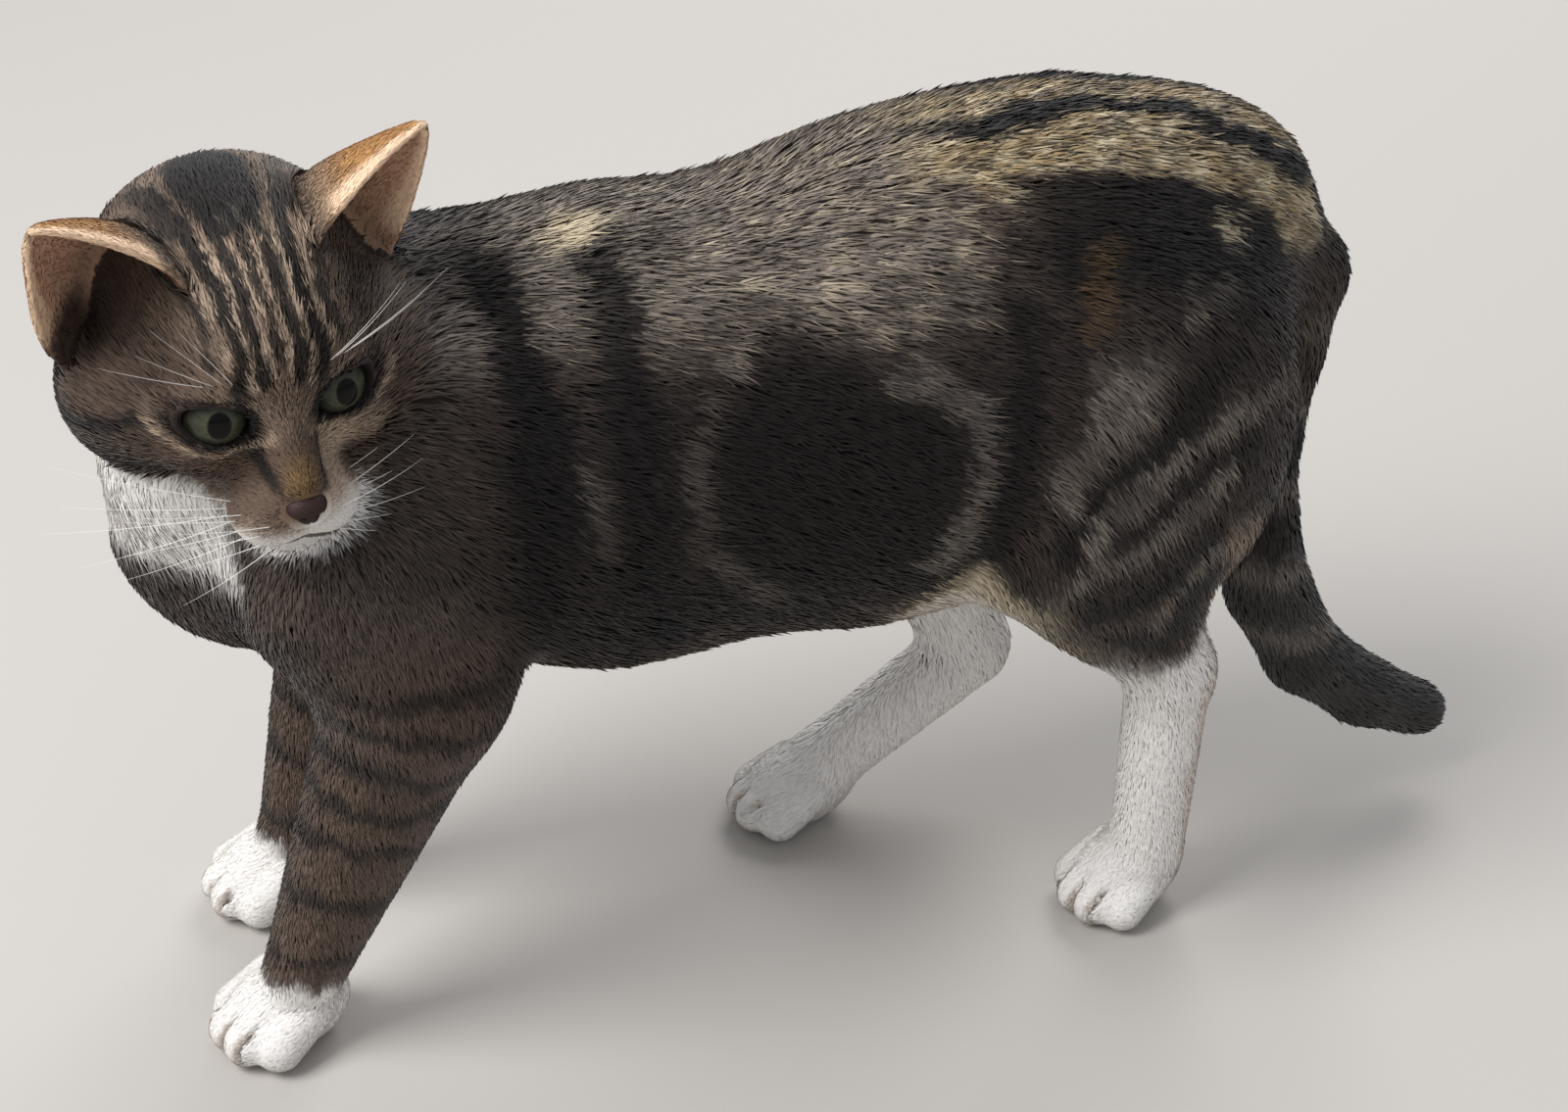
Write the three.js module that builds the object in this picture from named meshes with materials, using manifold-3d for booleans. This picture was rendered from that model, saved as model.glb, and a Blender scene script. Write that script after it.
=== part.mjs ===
// A domestic cat standing still, head turned to its left and lowered, tail hanging.
// Millimetres. The cat faces -Y, its left side is +X, the floor is Z = 0.
// The flesh is one field of eased balls and limbs, meshed whole, thinned to few facets,
// then parted with thin cuts into its named pieces. Coat and flesh are one outline here.
import * as THREE from 'three';
import Module from 'manifold-3d';

const wasm = await Module();
wasm.setup();
const { Manifold, Mesh } = wasm;

// ---- driving sizes -------------------------------------------------------------------
const gap = 0.35;                 // clear space left by every cut
const fleshFacets = 7600;         // triangles kept on the whole flesh before it is parted
const pieceShare = 0.55;          // share of those kept on each piece once it is parted
const pawShare = 0.85;            // the same for a paw
const wideStep = 3.2;             // mesh step over trunk, legs and tail
const fineStep = 1.6;             // mesh step over the head and the paws
const middle = [2.36, 10.1];       // x and y that end up over the origin

// head: midpoint between the eyes, turned to the left, nodding down, life-size scale
const head = { at: [55.2, -156.3, 237.9], turn: 101.9, nod: -19.5, tilt: -1.8, size: 0.908 };
const eye = { at: [17.8, -1.9, -1.8], radius: 10.2, out: 14, up: 14, slant: 9, opening: [10.8, 14, 6.3] };
const nose = { at: [0, 24.7, -22.3], radii: [7, 5.4, 5] };

// trunk: [x, y, z], radius along the spine, then how narrow the section is
const trunk = [
  { from: [0, -108, 183], to: [0, -60, 182], radii: [54, 70], wide: 0.82, ease: 12 },
  { from: [0, -60, 182], to: [0, 30, 183], radii: [70, 73], wide: 0.87, ease: 20 },
  { from: [0, 30, 189], to: [0, 92, 200], radii: [74, 67], wide: 0.84, ease: 20 },
  { from: [0, 92, 200], to: [0, 112, 200], radii: [66, 48], wide: 0.84, ease: 15 },
];
const trunkForms = [
  { name: 'withers', at: [0, -92, 214], radii: [27, 42, 37], ease: 20 },
  { name: 'loin', at: [0, 62, 225], radii: [34, 60, 44], ease: 25 },
  { name: 'croup', at: [0, 119, 232], radii: [29, 47, 33], ease: 20 },
  { name: 'breast', at: [-1, -152, 175], radii: [38, 51, 48], ease: 22 },
  { name: 'throat', at: [14, -170, 205], radii: [32, 34, 34], ease: 15 },
];
const neck = { from: [0, -115, 200], to: [4, -158, 244], radii: [46, 37], ease: 20 };

const foreleg = [
  {
    side: 'left', shoulder: [34, -112, 184], elbow: [40, -124, 132], top: [40, -140, 168],
    wrist: [34, -163, 30], paw: [30, -173], turned: 22,
  },
  {
    side: 'right', shoulder: [-34, -112, 184], elbow: [-38, -124, 132], top: [-38, -140, 168],
    wrist: [-38, -154, 30], paw: [-40, -166], turned: 12,
  },
];
const hindleg = [
  {
    side: 'left', thigh: [40, 101, 172], thighRadii: [28, 48, 62], knee: [46, 74, 146],
    shin: [47, 112, 96], kneeRadius: 28, hock: [47, 112, 88], ankle: [47, 109, 24], paw: [44, 100], turned: 18,
  },
  {
    side: 'right', thigh: [-40, 88, 168], thighRadii: [28, 52, 60], knee: [-42, 52, 130],
    shin: [-34, 74, 64], kneeRadius: 30, hock: [-34, 76, 56], ankle: [-33, 26, 22], paw: [-33, 10], turned: 5,
  },
];
const shoulderRadii = [23, 38, 50];
const forearm = { top: [32, 27], wrist: [26, 13] };
const shank = { end: 15.5, hock: 14.2, ankle: 13 };
const forepaw = { length: 44, width: 36, toe: 8.6 };
const hindpaw = { length: 40, width: 34, toe: 8 };
// the tail from its root to its tip: x, y, z, radius
const tail = [
  [0, 138, 230, 22], [4, 164, 204, 17], [7, 159, 180, 15.5], [8, 154, 150, 15], [8, 156, 120, 14.8],
  [9, 164, 90, 14.4], [10, 179, 62, 13.8], [10, 203, 42, 12.4], [10, 226, 30, 10],
];

// ear: front, back and side of its root, and its tip, in the head's own axes
const ear = {
  left: { side: 1, front: [22, -24, 34], back: [29, -52, 29], outer: [50, -37, 8], tip: [53, -22.7, 70] },
  right: { side: -1, front: [-20, -21, 34.5], back: [-32, -50, 29], outer: [-54, -32, 4], tip: [-60, -24, 63] },
};
const earWall = 2.4;              // thickness of an ear with its short fur

// ---- frames --------------------------------------------------------------------------
const rad = (degrees) => degrees * Math.PI / 180;
const vec = (a) => new THREE.Vector3(...a);

// own axes of a turned form: x its left, y forward, z up
function axes(turn, nod = 0, tilt = 0) {
  const spun = new THREE.Matrix4().makeRotationZ(rad(turn));
  const forward = new THREE.Matrix4().set(1, 0, 0, 0, 0, -1, 0, 0, 0, 0, 1, 0, 0, 0, 0, 1);
  const nodded = new THREE.Matrix4().makeRotationX(rad(nod));
  const tilted = new THREE.Matrix4().makeRotationY(rad(tilt));
  return spun.multiply(forward).multiply(nodded).multiply(tilted);
}
function columns(matrix) {
  const e = matrix.elements;
  return [[e[0], e[1], e[2]], [e[4], e[5], e[6]], [e[8], e[9], e[10]]];
}
const headFrame = { at: head.at, axes: columns(axes(head.turn, head.nod, head.tilt)), size: head.size };
function toWorld(frame, p) {
  return frame.at.map((o, i) => o + frame.size
    * (frame.axes[0][i] * p[0] + frame.axes[1][i] * p[1] + frame.axes[2][i] * p[2]));
}

// the eye looks a little outward and up; its opening is slanted up toward the ear
function eyeAxes() {
  const [a, b, c] = [rad(eye.out), rad(eye.up), rad(eye.slant)];
  const look = vec([Math.sin(a) * Math.cos(b), Math.cos(a) * Math.cos(b), Math.sin(b)]);
  const right = look.clone().cross(vec([0, 0, 1])).normalize();
  const up = right.clone().cross(look);
  const along = right.clone().multiplyScalar(Math.cos(c)).addScaledVector(up, Math.sin(c));
  const across = up.clone().multiplyScalar(Math.cos(c)).addScaledVector(right, -Math.sin(c));
  return [along.toArray(), look.toArray(), across.toArray()];
}

// ---- the field of the flesh ----------------------------------------------------------
const flesh = [];
function ball(at, radii, ease, more = {}) {
  flesh.push({ at, radii, ease, reach: Math.max(...radii), ...more });
}
function limb(from, to, radii, ease, more = {}) {
  flesh.push({ from, to, radii, ease, reach: Math.max(...radii), ...more });
}
function headBall(at, radii, ease, more = {}) { ball(at, radii, ease, { frame: headFrame, ...more }); }
function headPair(at, radii, ease, more = {}) { headBall(at, radii, ease, { paired: true, ...more }); }

for (const s of trunk) limb(s.from, s.to, s.radii, s.ease, { wide: s.wide });
limb(neck.from, neck.to, neck.radii, neck.ease);
for (const s of trunkForms) ball(s.at, s.radii, s.ease);

function addPaw(at, turned, size) {
  const frame = { at: [...at, 0], axes: columns(axes(turned)), size: 1 };
  ball([0, -5, 12], [size.width * 0.43, size.length * 0.45, 14], 8, { frame });
  for (const [side, ahead] of [[-0.345, 0.16], [-0.125, 0.30], [0.125, 0.30], [0.345, 0.16]]) {
    const tip = [side * size.width, ahead * size.length, size.toe * 0.965];
    limb([tip[0] * 0.8, tip[1] - 12, 15], tip, [size.toe, size.toe * 0.95], 3, { frame });
  }
}
for (const leg of foreleg) {
  ball(leg.shoulder, shoulderRadii, 18);
  limb(leg.top, leg.elbow, forearm.top, 18);
  limb([leg.elbow[0], leg.elbow[1], leg.elbow[2] - 4], leg.wrist, forearm.wrist, 10);
  addPaw(leg.paw, leg.turned, forepaw);
}
for (const leg of hindleg) {
  ball(leg.thigh, leg.thighRadii, 20);
  limb(leg.knee, leg.shin, [leg.kneeRadius, shank.end], 16);
  limb(leg.hock, leg.ankle, [shank.hock, shank.ankle], 8);
  addPaw(leg.paw, leg.turned, hindpaw);
}
for (let i = 1; i < tail.length; i++) {
  const [a, b] = [tail[i - 1], tail[i]];
  limb(a.slice(0, 3), b.slice(0, 3), [a[3], b[3]], i === 1 ? 10 : 4);
}

headBall([0, -32.8, 8], [38, 40, 31.5], 12);                    // braincase
headBall([0, -50, 5], [37, 31, 32], 14);                        // occiput and nape
headPair([27, -25, -10], [23, 27, 22], 10);                     // cheek
headPair([34, -34, -17], [20, 22, 22], 10);                     // ruff behind the cheek
headBall([0, -10, 12.5], [25, 16, 16], 8);                      // forehead
headPair(eye.at, [12.6, 12, 12.2], 5);                          // lids over the eyeball
headPair([15.5, -2.5, 8.5], [12, 6, 5], 6);                         // brow
headPair([20.5, -3, -14], [13, 12, 9], 7);                       // cheekbone
limb([0, 0, 4.5], [0, 19, -16.2], [9.6, 6.5], 6, { frame: headFrame });   // bridge of the nose
limb([0, -8, -22], [0, 12, -29], [21, 13], 9, { frame: headFrame });       // snout
headPair([8.5, 14.5, -30.5], [11.5, 13, 10], 5);             // whisker pad
headBall([0, 18.2, -26.2], [8.5, 9, 8], 5);                      // under the nose leather
headBall([0, 9.5, -42], [9.5, 10, 7], 4);                       // chin
limb([0, -18, -30], [0, 5.5, -38], [18, 10], 10, { frame: headFrame });       // lower jaw
const lidAxes = eyeAxes();
headPair(eye.at.map((c, i) => c + 9 * lidAxes[1][i]), eye.opening, 1.5, { axes: lidAxes, cut: true });
headBall([0, 20, -36.3], [11, 14, 1.3], 2, { cut: true });      // parting of the lips

// length of p over its radii, eased to a distance near the surface
function ballDistance(s, x, y, z) {
  let [a, b, c] = [x - s.at[0], y - s.at[1], z - s.at[2]];
  if (s.axes) {
    [a, b, c] = s.axes.map((v) => a * v[0] + b * v[1] + c * v[2]);
  }
  const [p, q, r] = s.radii;
  const near = Math.hypot(a / p, b / q, c / r);
  const slope = Math.hypot(a / (p * p), b / (q * q), c / (r * r));
  return near * (near - 1) / Math.max(slope, 1e-9);
}
function limbDistance(s, x, y, z) {
  const wide = s.wide ?? 1;
  const ab = [s.to[0] - s.from[0], s.to[1] - s.from[1], s.to[2] - s.from[2]];
  const ap = [x / wide - s.from[0], y - s.from[1], z - s.from[2]];
  const along = (ap[0] * ab[0] + ap[1] * ab[1] + ap[2] * ab[2]) / (ab[0] ** 2 + ab[1] ** 2 + ab[2] ** 2);
  const t = Math.min(1, Math.max(0, along));
  const off = Math.hypot(ap[0] - t * ab[0], ap[1] - t * ab[1], ap[2] - t * ab[2]);
  return (off - s.radii[0] - t * (s.radii[1] - s.radii[0])) * Math.sqrt(wide);
}
function distance(s, x, y, z) {
  let scale = 1;
  if (s.frame) {
    const { at, axes: own, size } = s.frame;
    const [a, b, c] = [x - at[0], y - at[1], z - at[2]];
    [x, y, z] = own.map((v) => (a * v[0] + b * v[1] + c * v[2]) / size);
    if (s.paired) x = Math.abs(x);
    scale = size;
  }
  return scale * (s.radii.length === 3 ? ballDistance(s, x, y, z) : limbDistance(s, x, y, z));
}
function join(a, b, ease) {
  const h = Math.max(ease - Math.abs(a - b), 0) / ease;
  return Math.min(a, b) - h * h * ease / 4;
}
function add(s, value, d) { return s.cut ? -join(-value, d, s.ease) : join(value, d, s.ease); }

// world box within which a form can change the field
function reachBox(s) {
  const ends = s.at ? [s.at] : [s.from, s.to];
  const both = s.paired ? ends.concat(ends.map((p) => [-p[0], p[1], p[2]])) : ends;
  const points = both.map((p) => (s.frame ? toWorld(s.frame, p) : p));
  const room = s.reach + s.ease + 4;
  return [0, 1, 2].map((i) => [Math.min(...points.map((p) => p[i])) - room,
    Math.max(...points.map((p) => p[i])) + room]);
}
const boxes = flesh.map(reachBox);
function fieldAt(p) {
  let value = 80;
  flesh.forEach((s, n) => {
    if (boxes[n].every(([lo, hi], i) => p[i] >= lo && p[i] <= hi)) value = add(s, value, distance(s, ...p));
  });
  return Math.max(value, -p[2]);
}

// ---- meshing: one point in each cell the surface crosses -----------------------------
function steps(from, to, fine) {
  const out = [from];
  while (out[out.length - 1] < to) {
    const here = out[out.length - 1];
    out.push(here + (fine.some(([lo, hi]) => here >= lo && here < hi) ? fineStep : wideStep));
  }
  return out;
}
const grid = [
  steps(-82, 92, [[-62, 80]]),
  steps(-222, 252, [[-218, -92], [-14, 42], [78, 126]]),
  steps(-4, 300, [[-4, 36], [178, 292]]),
];
const count = grid.map((g) => g.length);
const slot = (i, j, k) => (i * count[1] + j) * count[2] + k;

function sampleField() {
  const values = new Float32Array(count[0] * count[1] * count[2]).fill(80);
  flesh.forEach((s, n) => {
    const [a, b, c] = boxes[n].map(([lo, hi], i) => [grid[i].findIndex((v) => v >= lo),
      grid[i].findLastIndex((v) => v <= hi)]);
    for (let i = Math.max(a[0], 0); i <= a[1]; i++) {
      for (let j = Math.max(b[0], 0); j <= b[1]; j++) {
        for (let k = Math.max(c[0], 0); k <= c[1]; k++) {
          const m = slot(i, j, k);
          values[m] = add(s, values[m], distance(s, grid[0][i], grid[1][j], grid[2][k]));
        }
      }
    }
  });
  for (let m = 0; m < values.length; m++) values[m] = Math.max(values[m], -grid[2][m % count[2]]);
  return values;
}

function meshField(values) {
  const points = [];
  const pointOf = new Int32Array(values.length).fill(-1);
  const corners = [];
  for (let n = 0; n < 8; n++) corners.push([n & 1, (n >> 1) & 1, (n >> 2) & 1]);
  const steady = corners.map(([a, b, c]) => slot(a, b, c));
  const edges = [[0, 1], [2, 3], [4, 5], [6, 7], [0, 2], [1, 3], [4, 6], [5, 7], [0, 4], [1, 5], [2, 6], [3, 7]];
  for (let i = 0; i < count[0] - 1; i++) {
    for (let j = 0; j < count[1] - 1; j++) {
      for (let k = 0; k < count[2] - 1; k++) {
        const here = slot(i, j, k);
        const inside = values[here] < 0;
        if (steady.every((step) => (values[here + step] < 0) === inside)) continue;
        const v = corners.map(([a, b, c]) => values[slot(i + a, j + b, k + c)]);
        const sum = [0, 0, 0];
        let hits = 0;
        for (const [a, b] of edges) {
          if ((v[a] < 0) === (v[b] < 0)) continue;
          const t = v[a] / (v[a] - v[b]);
          const cell = [i, j, k];
          for (let d = 0; d < 3; d++) {
            const lo = grid[d][cell[d] + corners[a][d]];
            sum[d] += lo + t * (grid[d][cell[d] + corners[b][d]] - lo);
          }
          hits++;
        }
        pointOf[slot(i, j, k)] = points.length;
        points.push(sum.map((s) => s / hits));
      }
    }
  }
  const faces = [];
  for (let i = 1; i < count[0] - 1; i++) {
    for (let j = 1; j < count[1] - 1; j++) {
      for (let k = 1; k < count[2] - 1; k++) {
        const here = values[slot(i, j, k)] < 0;
        const around = [
          [slot(i + 1, j, k), [[0, 0, 0], [0, -1, 0], [0, -1, -1], [0, 0, -1]]],
          [slot(i, j + 1, k), [[0, 0, 0], [0, 0, -1], [-1, 0, -1], [-1, 0, 0]]],
          [slot(i, j, k + 1), [[0, 0, 0], [-1, 0, 0], [-1, -1, 0], [0, -1, 0]]],
        ];
        for (const [next, ring] of around) {
          if (here === (values[next] < 0)) continue;
          let quad = ring.map(([a, b, c]) => pointOf[slot(i + a, j + b, k + c)]);
          if (!here) quad = quad.reverse();
          faces.push([quad[0], quad[1], quad[2]], [quad[0], quad[2], quad[3]]);
        }
      }
    }
  }
  return { points, faces };
}

// ---- thinning: the edges that cost the shape least are drawn together -----------------
function thin({ points, faces }, wanted) {
  const q = points.map(() => new Float64Array(10));
  const facesOf = points.map(() => new Set());
  const alive = faces.map(() => true);
  const normal = (f, moved, to) => {
    const [a, b, c] = f.map((n) => (n === moved ? to : points[n]));
    const [ux, uy, uz] = [b[0] - a[0], b[1] - a[1], b[2] - a[2]];
    const [vx, vy, vz] = [c[0] - a[0], c[1] - a[1], c[2] - a[2]];
    return [uy * vz - uz * vy, uz * vx - ux * vz, ux * vy - uy * vx];
  };
  faces.forEach((f, n) => {
    const m = normal(f);
    const size = Math.hypot(...m) || 1e-12;
    const [a, b, c] = m.map((x) => x / size);
    const d = -(a * points[f[0]][0] + b * points[f[0]][1] + c * points[f[0]][2]);
    const own = [a * a, a * b, a * c, a * d, b * b, b * c, b * d, c * c, c * d, d * d];
    for (const p of f) {
      facesOf[p].add(n);
      for (let i = 0; i < 10; i++) q[p][i] += own[i] * (size / 2 + 0.2);
    }
  });
  const costAt = (m, [x, y, z]) => m[0] * x * x + 2 * m[1] * x * y + 2 * m[2] * x * z + 2 * m[3] * x
    + m[4] * y * y + 2 * m[5] * y * z + 2 * m[6] * y + m[7] * z * z + 2 * m[8] * z + m[9];
  const best = (a, b) => {
    const m = q[a].map((x, i) => x + q[b][i]);
    const [pa, pb] = [points[a], points[b]];
    const length = (pa[0] - pb[0]) ** 2 + (pa[1] - pb[1]) ** 2 + (pa[2] - pb[2]) ** 2;
    const det = m[0] * (m[4] * m[7] - m[5] * m[5]) - m[1] * (m[1] * m[7] - m[5] * m[2])
      + m[2] * (m[1] * m[5] - m[4] * m[2]);
    const middle = pa.map((x, i) => (x + pb[i]) / 2);
    const tries = [middle, pa, pb];
    if (Math.abs(det) > 1e-3 * (m[0] + m[4] + m[7]) ** 3 / 27) {
      const [r, s, t] = [-m[3], -m[6], -m[8]];
      const x = (r * (m[4] * m[7] - m[5] * m[5]) - m[1] * (s * m[7] - m[5] * t) + m[2] * (s * m[5] - m[4] * t)) / det;
      const y = (m[0] * (s * m[7] - t * m[5]) - r * (m[1] * m[7] - m[5] * m[2]) + m[2] * (m[1] * t - s * m[2])) / det;
      const z = (m[0] * (m[4] * t - m[5] * s) - m[1] * (m[1] * t - s * m[2]) + r * (m[1] * m[5] - m[4] * m[2])) / det;
      if (Math.hypot(x - middle[0], y - middle[1], z - middle[2]) < 2 * Math.sqrt(length)) tries.push([x, y, z]);
    }
    let [cost, to] = [Infinity, middle];
    for (const p of tries) {
      const c = costAt(m, p);
      if (c < cost) [cost, to] = [c, p];
    }
    return { a, b, to, cost: Math.max(cost, 0) + 1e-4 * length };
  };
  const stamp = new Int32Array(points.length);
  const heap = [];
  const push = (item) => {
    let n = heap.push(item) - 1;
    while (n > 0 && heap[(n - 1) >> 1].cost > heap[n].cost) {
      [heap[n], heap[(n - 1) >> 1]] = [heap[(n - 1) >> 1], heap[n]];
      n = (n - 1) >> 1;
    }
  };
  const pop = () => {
    const top = heap[0];
    const last = heap.pop();
    if (heap.length) {
      heap[0] = last;
      for (let n = 0; ;) {
        let low = n;
        for (const c of [2 * n + 1, 2 * n + 2]) if (c < heap.length && heap[c].cost < heap[low].cost) low = c;
        if (low === n) break;
        [heap[n], heap[low]] = [heap[low], heap[n]];
        n = low;
      }
    }
    return top;
  };
  const ringOf = (p) => {
    const ring = new Set();
    for (const f of facesOf[p]) for (const n of faces[f]) if (n !== p) ring.add(n);
    return ring;
  };
  const offer = (a, b) => push({ ...best(a, b), stamps: [stamp[a], stamp[b]] });
  points.forEach((_, a) => { for (const b of ringOf(a)) if (a < b) offer(a, b); });
  let left = faces.length;
  while (left > wanted && heap.length) {
    const { a, b, to, stamps } = pop();
    if (stamps[0] !== stamp[a] || stamps[1] !== stamp[b]) continue;
    const ringB = ringOf(b);
    const shared = [...ringOf(a)].filter((n) => ringB.has(n));
    if (shared.length !== 2) continue;
    const turned = [a, b].some((p) => [...facesOf[p]].some((f) => {
      if (faces[f].includes(a) && faces[f].includes(b)) return false;
      const [m, n] = [normal(faces[f]), normal(faces[f], p, to)];
      const [was, is] = [Math.hypot(...m), Math.hypot(...n)];
      return (is < 0.04 && is < was) || (was > 0.02 && m[0] * n[0] + m[1] * n[1] + m[2] * n[2] < 0.25 * was * is);
    }));
    if (turned) continue;
    points[a] = to;
    for (let i = 0; i < 10; i++) q[a][i] += q[b][i];
    for (const f of [...facesOf[b]]) {
      if (faces[f].includes(a)) {
        alive[f] = false;
        left--;
        for (const n of faces[f]) facesOf[n].delete(f);
      } else {
        faces[f] = faces[f].map((n) => (n === b ? a : n));
        facesOf[a].add(f);
      }
    }
    stamp[a]++;
    stamp[b] = -1;
    for (const n of ringOf(a)) offer(Math.min(a, n), Math.max(a, n));
  }
  return { points, faces: faces.filter((_, n) => alive[n]) };
}

// ---- solids --------------------------------------------------------------------------
function solid({ points, faces }) {
  const names = new Map();
  const verts = [];
  const tris = faces.flat().map((n) => {
    if (!names.has(n)) {
      names.set(n, names.size);
      verts.push(...points[n]);
    }
    return names.get(n);
  });
  return new Manifold(new Mesh({
    numProp: 3, vertProperties: new Float32Array(verts), triVerts: new Uint32Array(tris),
  }));
}
function listed(shape) {
  const { vertProperties, triVerts, numProp } = shape.getMesh();
  const points = [];
  for (let n = 0; n < vertProperties.length; n += numProp) points.push([...vertProperties.subarray(n, n + 3)]);
  const faces = [];
  for (let n = 0; n < triVerts.length; n += 3) faces.push([...triVerts.subarray(n, n + 3)]);
  return { points, faces };
}
function solidOf(geometry) {
  const p = geometry.getAttribute('position');
  const index = geometry.getIndex();
  const keys = new Map();
  const points = [];
  const name = (n) => {
    const at = [p.getX(n), p.getY(n), p.getZ(n)];
    const key = at.map((c) => Math.round(c * 1e4)).join();
    if (!keys.has(key)) keys.set(key, points.push(at) - 1);
    return keys.get(key);
  };
  const faces = [];
  for (let n = 0; n < index.count; n += 3) {
    const f = [0, 1, 2].map((d) => name(index.getX(n + d)));
    if (new Set(f).size === 3) faces.push(f);
  }
  return solid({ points, faces });
}
function placed(geometry, at, turn = new THREE.Matrix4()) {
  geometry.applyMatrix4(turn).translate(...at);
  if (turn.determinant() < 0) geometry.getIndex().array.reverse();   // mirrored, so right side out again
  return geometry;
}
const headTurn = axes(head.turn, head.nod, head.tilt);
function headOval(at, radii, wide, high) {
  const oval = new THREE.SphereGeometry(1, wide, high).scale(...radii.map((r) => r * head.size));
  return solidOf(placed(oval, toWorld(headFrame, at), headTurn));
}

// a thin slab that parts the flesh: its middle, the way through it, and its two sides
function slab(at, through, sides) {
  const turn = new THREE.Matrix4().makeRotationFromQuaternion(
    new THREE.Quaternion().setFromUnitVectors(vec([0, 0, 1]), vec(through).normalize()));
  return solidOf(placed(new THREE.BoxGeometry(...sides, gap), at, turn));
}
function disc(at, through, radius) {
  const turn = new THREE.Matrix4().makeRotationFromQuaternion(
    new THREE.Quaternion().setFromUnitVectors(vec([0, 1, 0]), vec(through).normalize()));
  return solidOf(placed(new THREE.CylinderGeometry(radius, radius, gap, 16), at, turn));
}
function headSlab(at, sides, pitch, roll = 0) {
  const turn = headTurn.clone().multiply(new THREE.Matrix4().makeRotationX(rad(pitch)))
    .multiply(new THREE.Matrix4().makeRotationY(rad(roll)));
  return solidOf(placed(new THREE.BoxGeometry(...sides, gap), toWorld(headFrame, at), turn));
}
const [leftFore, rightFore] = foreleg;
const [leftHind, rightHind] = hindleg;
const cuts = [
  headSlab([-11, -10, -46], [118, 110], -6),                  // under the jaw
  headSlab([0, -62, 0], [150, 106], 90),                      // behind the skull
  headSlab([52, -10, 6], [106, 110], 0, 90),                  // left cheek from shoulder
  slab([0, -150, 190], [0, -0.5, 0.866], [170, 260]),           // neck from chest
  slab([0, -50, 190], [0, 1, 0], [170, 200]),                   // chest from belly
  slab([0, 36, 195], [0, 1, 0], [170, 200]),                    // belly from hips
  slab([0, 110, 150], [0, 0, 1], [170, 160]),                   // hips from thighs and tail
  slab([6.5, 139, 144], [0, 1, 0], [33, 12.4]),                 // left thigh from tail
  slab([21.5, 143.5, 144], [1, 0, 0], [12.4, 9.4]),
  slab([0, 90, 110], [1, 0, 0], [80, 110]),                     // thigh from thigh
  disc([9, 163.5, 92], [0, -0.3, 1], 19), disc([10, 192, 51], [0, -0.75, 0.66], 18),
  disc([38, -124, 116], [0, 0, 1], 36), disc([-38, -124, 116], [0, 0, 1], 36),
  disc([leftFore.wrist[0], leftFore.wrist[1], 33], [0, 0, 1], 22),
  disc([rightFore.wrist[0], rightFore.wrist[1], 33], [0, 0, 1], 22),
  disc([47, 107, 103], [0.02, 0.55, -0.83], 27), disc([-35.5, 68, 80], [0.11, 0.32, -0.94], 25),
  disc([leftHind.ankle[0], leftHind.ankle[1], 27], [0, 0, 1], 20),
  disc([rightHind.ankle[0], 34, 27.5], [0, 0.83, 0.56], 19),
];

// a point inside each piece the cuts leave
const seeds = {
  head: toWorld(headFrame, [0, -25, 5]),
  neck: [-28, -150, 214],
  shoulder_left: [45, -125, 200],
  chest: [0, -90, 185],
  belly: [0, -10, 185],
  hips: [0, 90, 200],
  thigh_left: [45, 80, 138],
  thigh_right: [-40, 60, 125],
  shank_left: [47, 111, 60],
  shank_right: [-33, 54, 42],
  hindpaw_left: [45, 103, 12],
  hindpaw_right: [-33, 12, 11],
  forearm_left: [37, -145, 75],
  forearm_right: [-38, -139, 75],
  forepaw_left: [31, -171, 12],
  forepaw_right: [-40, -165, 12],
  tail_upper: [8, 158, 125],
  tail_middle: [10, 178, 64],
  tail_tip: [10, 215, 36],
};

// ---- ears: a cupped sheet from its front edge round its back to its outer edge --------
function earMiddle(e, across, up) {
  const root = vec(e.front).add(vec(e.outer)).multiplyScalar(0.5);
  const pull = vec(e.back).multiplyScalar(2).sub(root);
  const chord = vec(e.front).lerp(vec(e.outer), across);
  const cup = vec(e.front).multiplyScalar((1 - across) ** 2)
    .addScaledVector(pull, 2 * across * (1 - across)).addScaledVector(vec(e.outer), across ** 2).sub(chord);
  const breadth = up > 0 ? Math.max(1 - up ** 1.5, 0) ** 0.8 : 1;
  return root.clone().addScaledVector(vec(e.tip).sub(root), up)
    .addScaledVector(chord.sub(root), breadth).addScaledVector(cup, breadth * (1 - 0.35 * up));
}
function earPoint(e, across, up, face) {
  const step = 0.01;
  const alongRim = earMiddle(e, Math.min(across + step, 1), up).sub(earMiddle(e, Math.max(across - step, 0), up));
  const upward = earMiddle(e, across, Math.min(up + step, 0.99)).sub(earMiddle(e, across, up - step));
  const out = alongRim.cross(upward).normalize().multiplyScalar(-e.side * face * earWall / 2);
  return toWorld(headFrame, earMiddle(e, across, up).add(out).toArray());
}
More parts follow.
